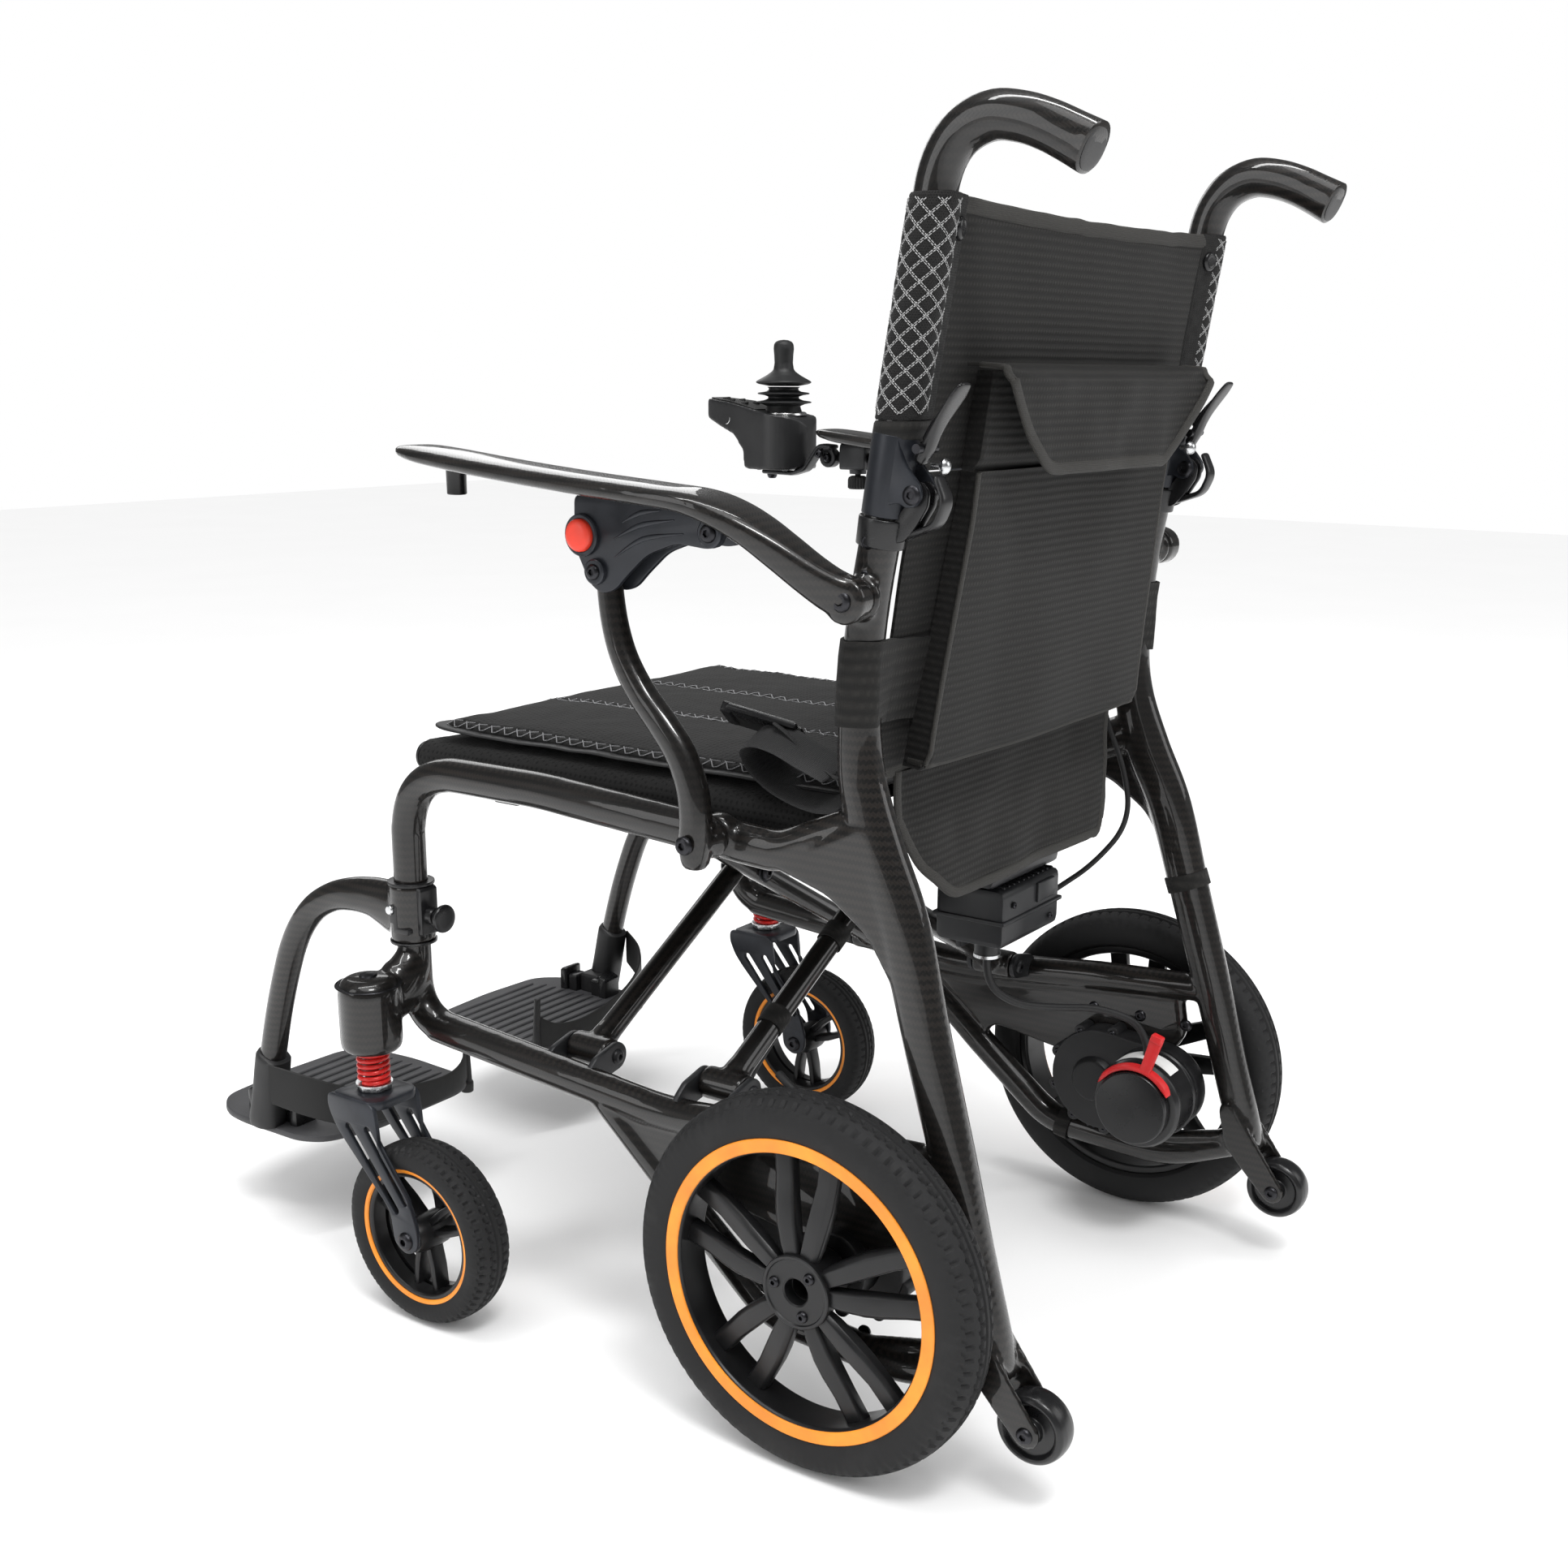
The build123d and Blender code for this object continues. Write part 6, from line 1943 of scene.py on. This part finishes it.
# ---------------------------------------------------------------- battery and drive electronics
pack = [brick((-160, -34), (185, 249), (373, 433), 5), brick((-156, -38), (189, 245), (428, 437.4), 2.5)]
pack += [brick((-161, -33), (183.6, 250.4), (z, z + 2.2), 0.8) for z in (386, 420)]
pack += [brick((x - 1.2, x + 1.2), (249.4, 251.4), (390, 418), 0.6) for x in range(-148, -44, 8)]
pack.append(brick((-118, -76), (247, 252.6), (396, 414), 1.6))
make("battery_shell", pack, CASE_BLACK, "right_side", ["battery"], sharp=40)
bar = [brick((-229, -82), (198, 242), (432.2, 437.4), 1.6)]
bar += [bolt((x, y, 437.2), (0, 0, 1), 4.2, 2.2) for x in (-214, -176) for y in (208, 232)]
make("battery_bracket", bar, BLUE_METAL, "right_side")

case = [brick((-151, -43), (187, 255), (318, 371), 5), brick((-153, -41), (185, 257), (340, 344), 1.4)]
case += [brick((x - 1.4, x + 1.4), (192, 250), (369, 372.2), 0.8) for x in range(-144, -46, 9)]
case += [brick((-136, -104), (254, 257.4), (348, 366), 1.2)]
case.append(brick((-111, -89), (183, 189.4), (297, 320), 1.4))
case.append(lathe(round_profile([(300.4, 3.6), (300.4, 10.8), (303, 11.4), (318, 11.4), (318, 3.6)], 1),
    (-70, 226, 0), "Z", 48))
make("controller_case", case, CASE_BLACK, "right_side", ["control_box"], sharp=40)
rims = [lathe([(301.6, 11.3), (301.6, 12.0), (304.4, 12.0), (304.4, 11.3)], (-70, 226, 0), "Z", 48)]
make("controller_case_ring", rims, ZINC, "right_side")
tie = [bolt((-100, 182.8, 305), (0, -1, 0), 4.6, 2.4), bolt((-60, 256.6, 356), (0, 1, 0), 3, 1.6),
    bolt((-130, 256.6, 330), (0, 1, 0), 3, 1.6)]
make("controller_case_screws", tie, DARK_STEEL, "right_side")

# ---------------------------------------------------------------- cables
ROUTES = {
    "left_motor_cable": ([(188, 222, 194), (188, 222, 218), (194, 216, 244), (206, 206, 262),
        (200, 190, 268)], 3.5, "left_side", ["left_motor_cable"], 0.0911),
    "brace_cable": ([(186, 146, 238), (176, 138.5, 247.6), (-111, 138, 410.1), (-124, 148, 418)], 3.5,
        "left_scissor", ["brace_cable"], 0.363),
    "right_motor_cable": ([(-70, 226, 300), (-70, 226, 276), (-90, 244, 254), (-128, 266, 244),
        (-164, 296, 240), (-188, 332, 222), (-188, 334, 194)], 3.5, "right_side", ["harness_cables"],
        0.2202),
    "joystick_cable": ([(-152, 240, 340), (-176, 240, 342), (-192, 268, 366), (-200, 298, 408),
        (-205, 288, 456), (-206, 262, 506), (-207, 257, 560), (-209, 262, 612), (-222, 263, 646),
        (-241, 268, 662)], 2.5, "right_side", ["harness_cables"], 0.3834),
}
for name, (route, radius, body, nodes, long) in ROUTES.items():
    line = bpy.data.curves.new(name, "CURVE")
    line.dimensions = "3D"
    line.bevel_depth = radius * MM
    line.bevel_resolution = 5
    line.resolution_u = 16
    line.use_fill_caps = True
    run = line.splines.new("NURBS")
    run.points.add(len(route) - 1)
    for point, place in zip(run.points, route):
        point.co = (*(c * MM for c in place), 1)
    run.order_u = 3
    run.use_endpoint_u = True
    line.materials.append(CABLE)
    piece = bpy.data.objects.new(name + "_run", line)
    bpy.context.scene.collection.objects.link(piece)
    settle(piece, body, nodes)

# ---------------------------------------------------------------- hook and loop straps
def wrapped(target, centre, along, wide=16.0, thick=1.5, count=44):
    """A strap closed round whatever section of the target lies at a place inside it."""
    axis = Vector(along).normalized()
    side = axis.cross(Vector((0, 0, 1))).normalized()
    up = side.cross(axis)
    reach = []
    for k in range(count):
        a = 2 * pi * k / count
        way = side * cos(a) + up * sin(a)
        hit, place, _, _ = target.ray_cast(Vector(centre) * MM, way)
        reach.append(min(34.0, (place / MM - Vector(centre)).length) if hit else 12.0)
    reach = [max(reach[k - 1], reach[k], reach[(k + 1) % count]) for k in range(count)]
    verts, faces = [], []
    for shift, grow in ((-wide / 2, thick), (wide / 2, thick), (wide / 2, 0.2), (-wide / 2, 0.2)):
        for k, radius in enumerate(reach):
            a = 2 * pi * k / count
            verts.append(Vector(centre) + axis * shift + (side * cos(a) + up * sin(a)) * (radius + grow))
    for row in range(4):
        for k in range(count):
            m, n = (k + 1) % count, (row + 1) % 4
            faces.append((row * count + k, row * count + m, n * count + m, n * count + k))
    return verts, faces


def member_middle(target, y, z):
    """Middle of the right hand member that crosses a place in side view."""
    _, outer, _, _ = target.ray_cast(Vector((-400, y, z)) * MM, Vector((1, 0, 0)))
    _, inner, _, _ = target.ray_cast(outer + Vector((0.5 * MM, 0, 0)), Vector((1, 0, 0)))
    return (outer + inner) / 2 / MM


brace_straps = []
for x in (51, 139):
    place = (x, 142.4, 248 + 231 * (205 - x) / 408)
    brace_straps.append(wrapped(bpy.data.objects["left_brace_skin"], place, (-408, 0, 231), 18.0))
make("brace_straps", brace_straps, BAND_CLOTH, "left_scissor", sharp=60)
frame_straps = []
for y, z, along in ((346, 354, (0, 0.35, -0.94)), (234, 93, (0, 1, -0.2))):
    place = member_middle(bpy.data.objects["right_frame_skin"], y, z)
    frame_straps.append(wrapped(bpy.data.objects["right_frame_skin"], place, along, 14.0))
make("frame_straps", frame_straps, BAND_CLOTH, "right_side", sharp=60)

# ---------------------------------------------------------------- camera, lights and floor
def look(place, towards, roll=0.0):
    aim = (Vector(towards) - Vector(place)).to_track_quat("-Z", "Y").to_matrix().to_4x4()
    return Matrix.Translation(Vector(place)) @ aim @ Matrix.Rotation(roll, 4, "Z")


eye = Vector((1.2901, 0.9550, 0.7998))
camera = bpy.data.cameras.new("camera")
camera.lens = 41.55
camera.sensor_width = 36.0
camera.shift_x = -0.0049
camera.shift_y = 0.0676
camera.clip_start = 0.02
viewer = bpy.data.objects.new("camera", camera)
bpy.context.scene.collection.objects.link(viewer)
viewer.matrix_world = look(eye, eye + Vector((-0.791, -0.547, -0.275)), 0.006)
bpy.context.scene.camera = viewer


def lamp(name, place, size, power, towards=(0, 0, 0.4), colour=(1, 1, 1)):
    data = bpy.data.lights.new(name, "AREA")
    data.shape = "RECTANGLE"
    data.size, data.size_y = size
    data.energy = power
    data.color = colour
    light = bpy.data.objects.new(name, data)
    bpy.context.scene.collection.objects.link(light)
    light.matrix_world = look(place, towards)


lamp("key", (1.2, 1.6, 3.2), (0.9, 0.5), 44)
lamp("fill", (2.8, -1.2, 1.6), (1.2, 2.0), 18)
lamp("rear", (-1.4, 2.8, 1.9), (1.6, 1.6), 18)
lamp("front", (-1.8, -2.4, 2.0), (2.0, 1.4), 15)
lamp("top_strip", (0.4, -0.2, 3.0), (0.2, 2.6), 30)

sun = bpy.data.lights.new("sun", "SUN")
sun.energy = 1.15
sun.angle = radians(50)
shine = bpy.data.objects.new("sun", sun)
bpy.context.scene.collection.objects.link(shine)
shine.matrix_world = look((0.8, 0.9, 3.0), (0, 0, 0))

# The room is pale to the eye, softer as light on the object and dim in its gloss.
world = bpy.data.worlds.new("studio")
world.use_nodes = True
tree = world.node_tree
rays = tree.nodes.new("ShaderNodeLightPath")
backdrop = tree.nodes["Background"]
backdrop.inputs[0].default_value = (1.0, 1.0, 1.0, 1)
strength = None
for output, value in (("Is Camera Ray", 1.0), ("Is Diffuse Ray", 0.75), ("Is Glossy Ray", 0.14)):
    share = tree.nodes.new("ShaderNodeMath")
    share.operation = "MULTIPLY_ADD"
    share.inputs[1].default_value = value
    share.inputs[2].default_value = 0.0
    tree.links.new(rays.outputs[output], share.inputs[0])
    if strength:
        tree.links.new(strength, share.inputs[2])
    strength = share.outputs[0]
tree.links.new(strength, backdrop.inputs[1])
bpy.context.scene.world = world


def floor_material():
    paint = Paint("floor_paint", Specular_IOR_Level=0.1)
    speck = paint.noise(2.5, 2.0)
    paint.set(Base_Color=paint.mix(speck, (0.86, 0.86, 0.86), (0.885, 0.885, 0.885)), Roughness=0.85)
    return paint.material


floor = make("floor", [([(-9000, -9000, -0.4), (9000, -9000, -0.4), (9000, 9000, -0.4),
    (-9000, 9000, -0.4)], [(0, 1, 2, 3)])], floor_material())
bpy.context.scene.view_settings.view_transform = "Standard"
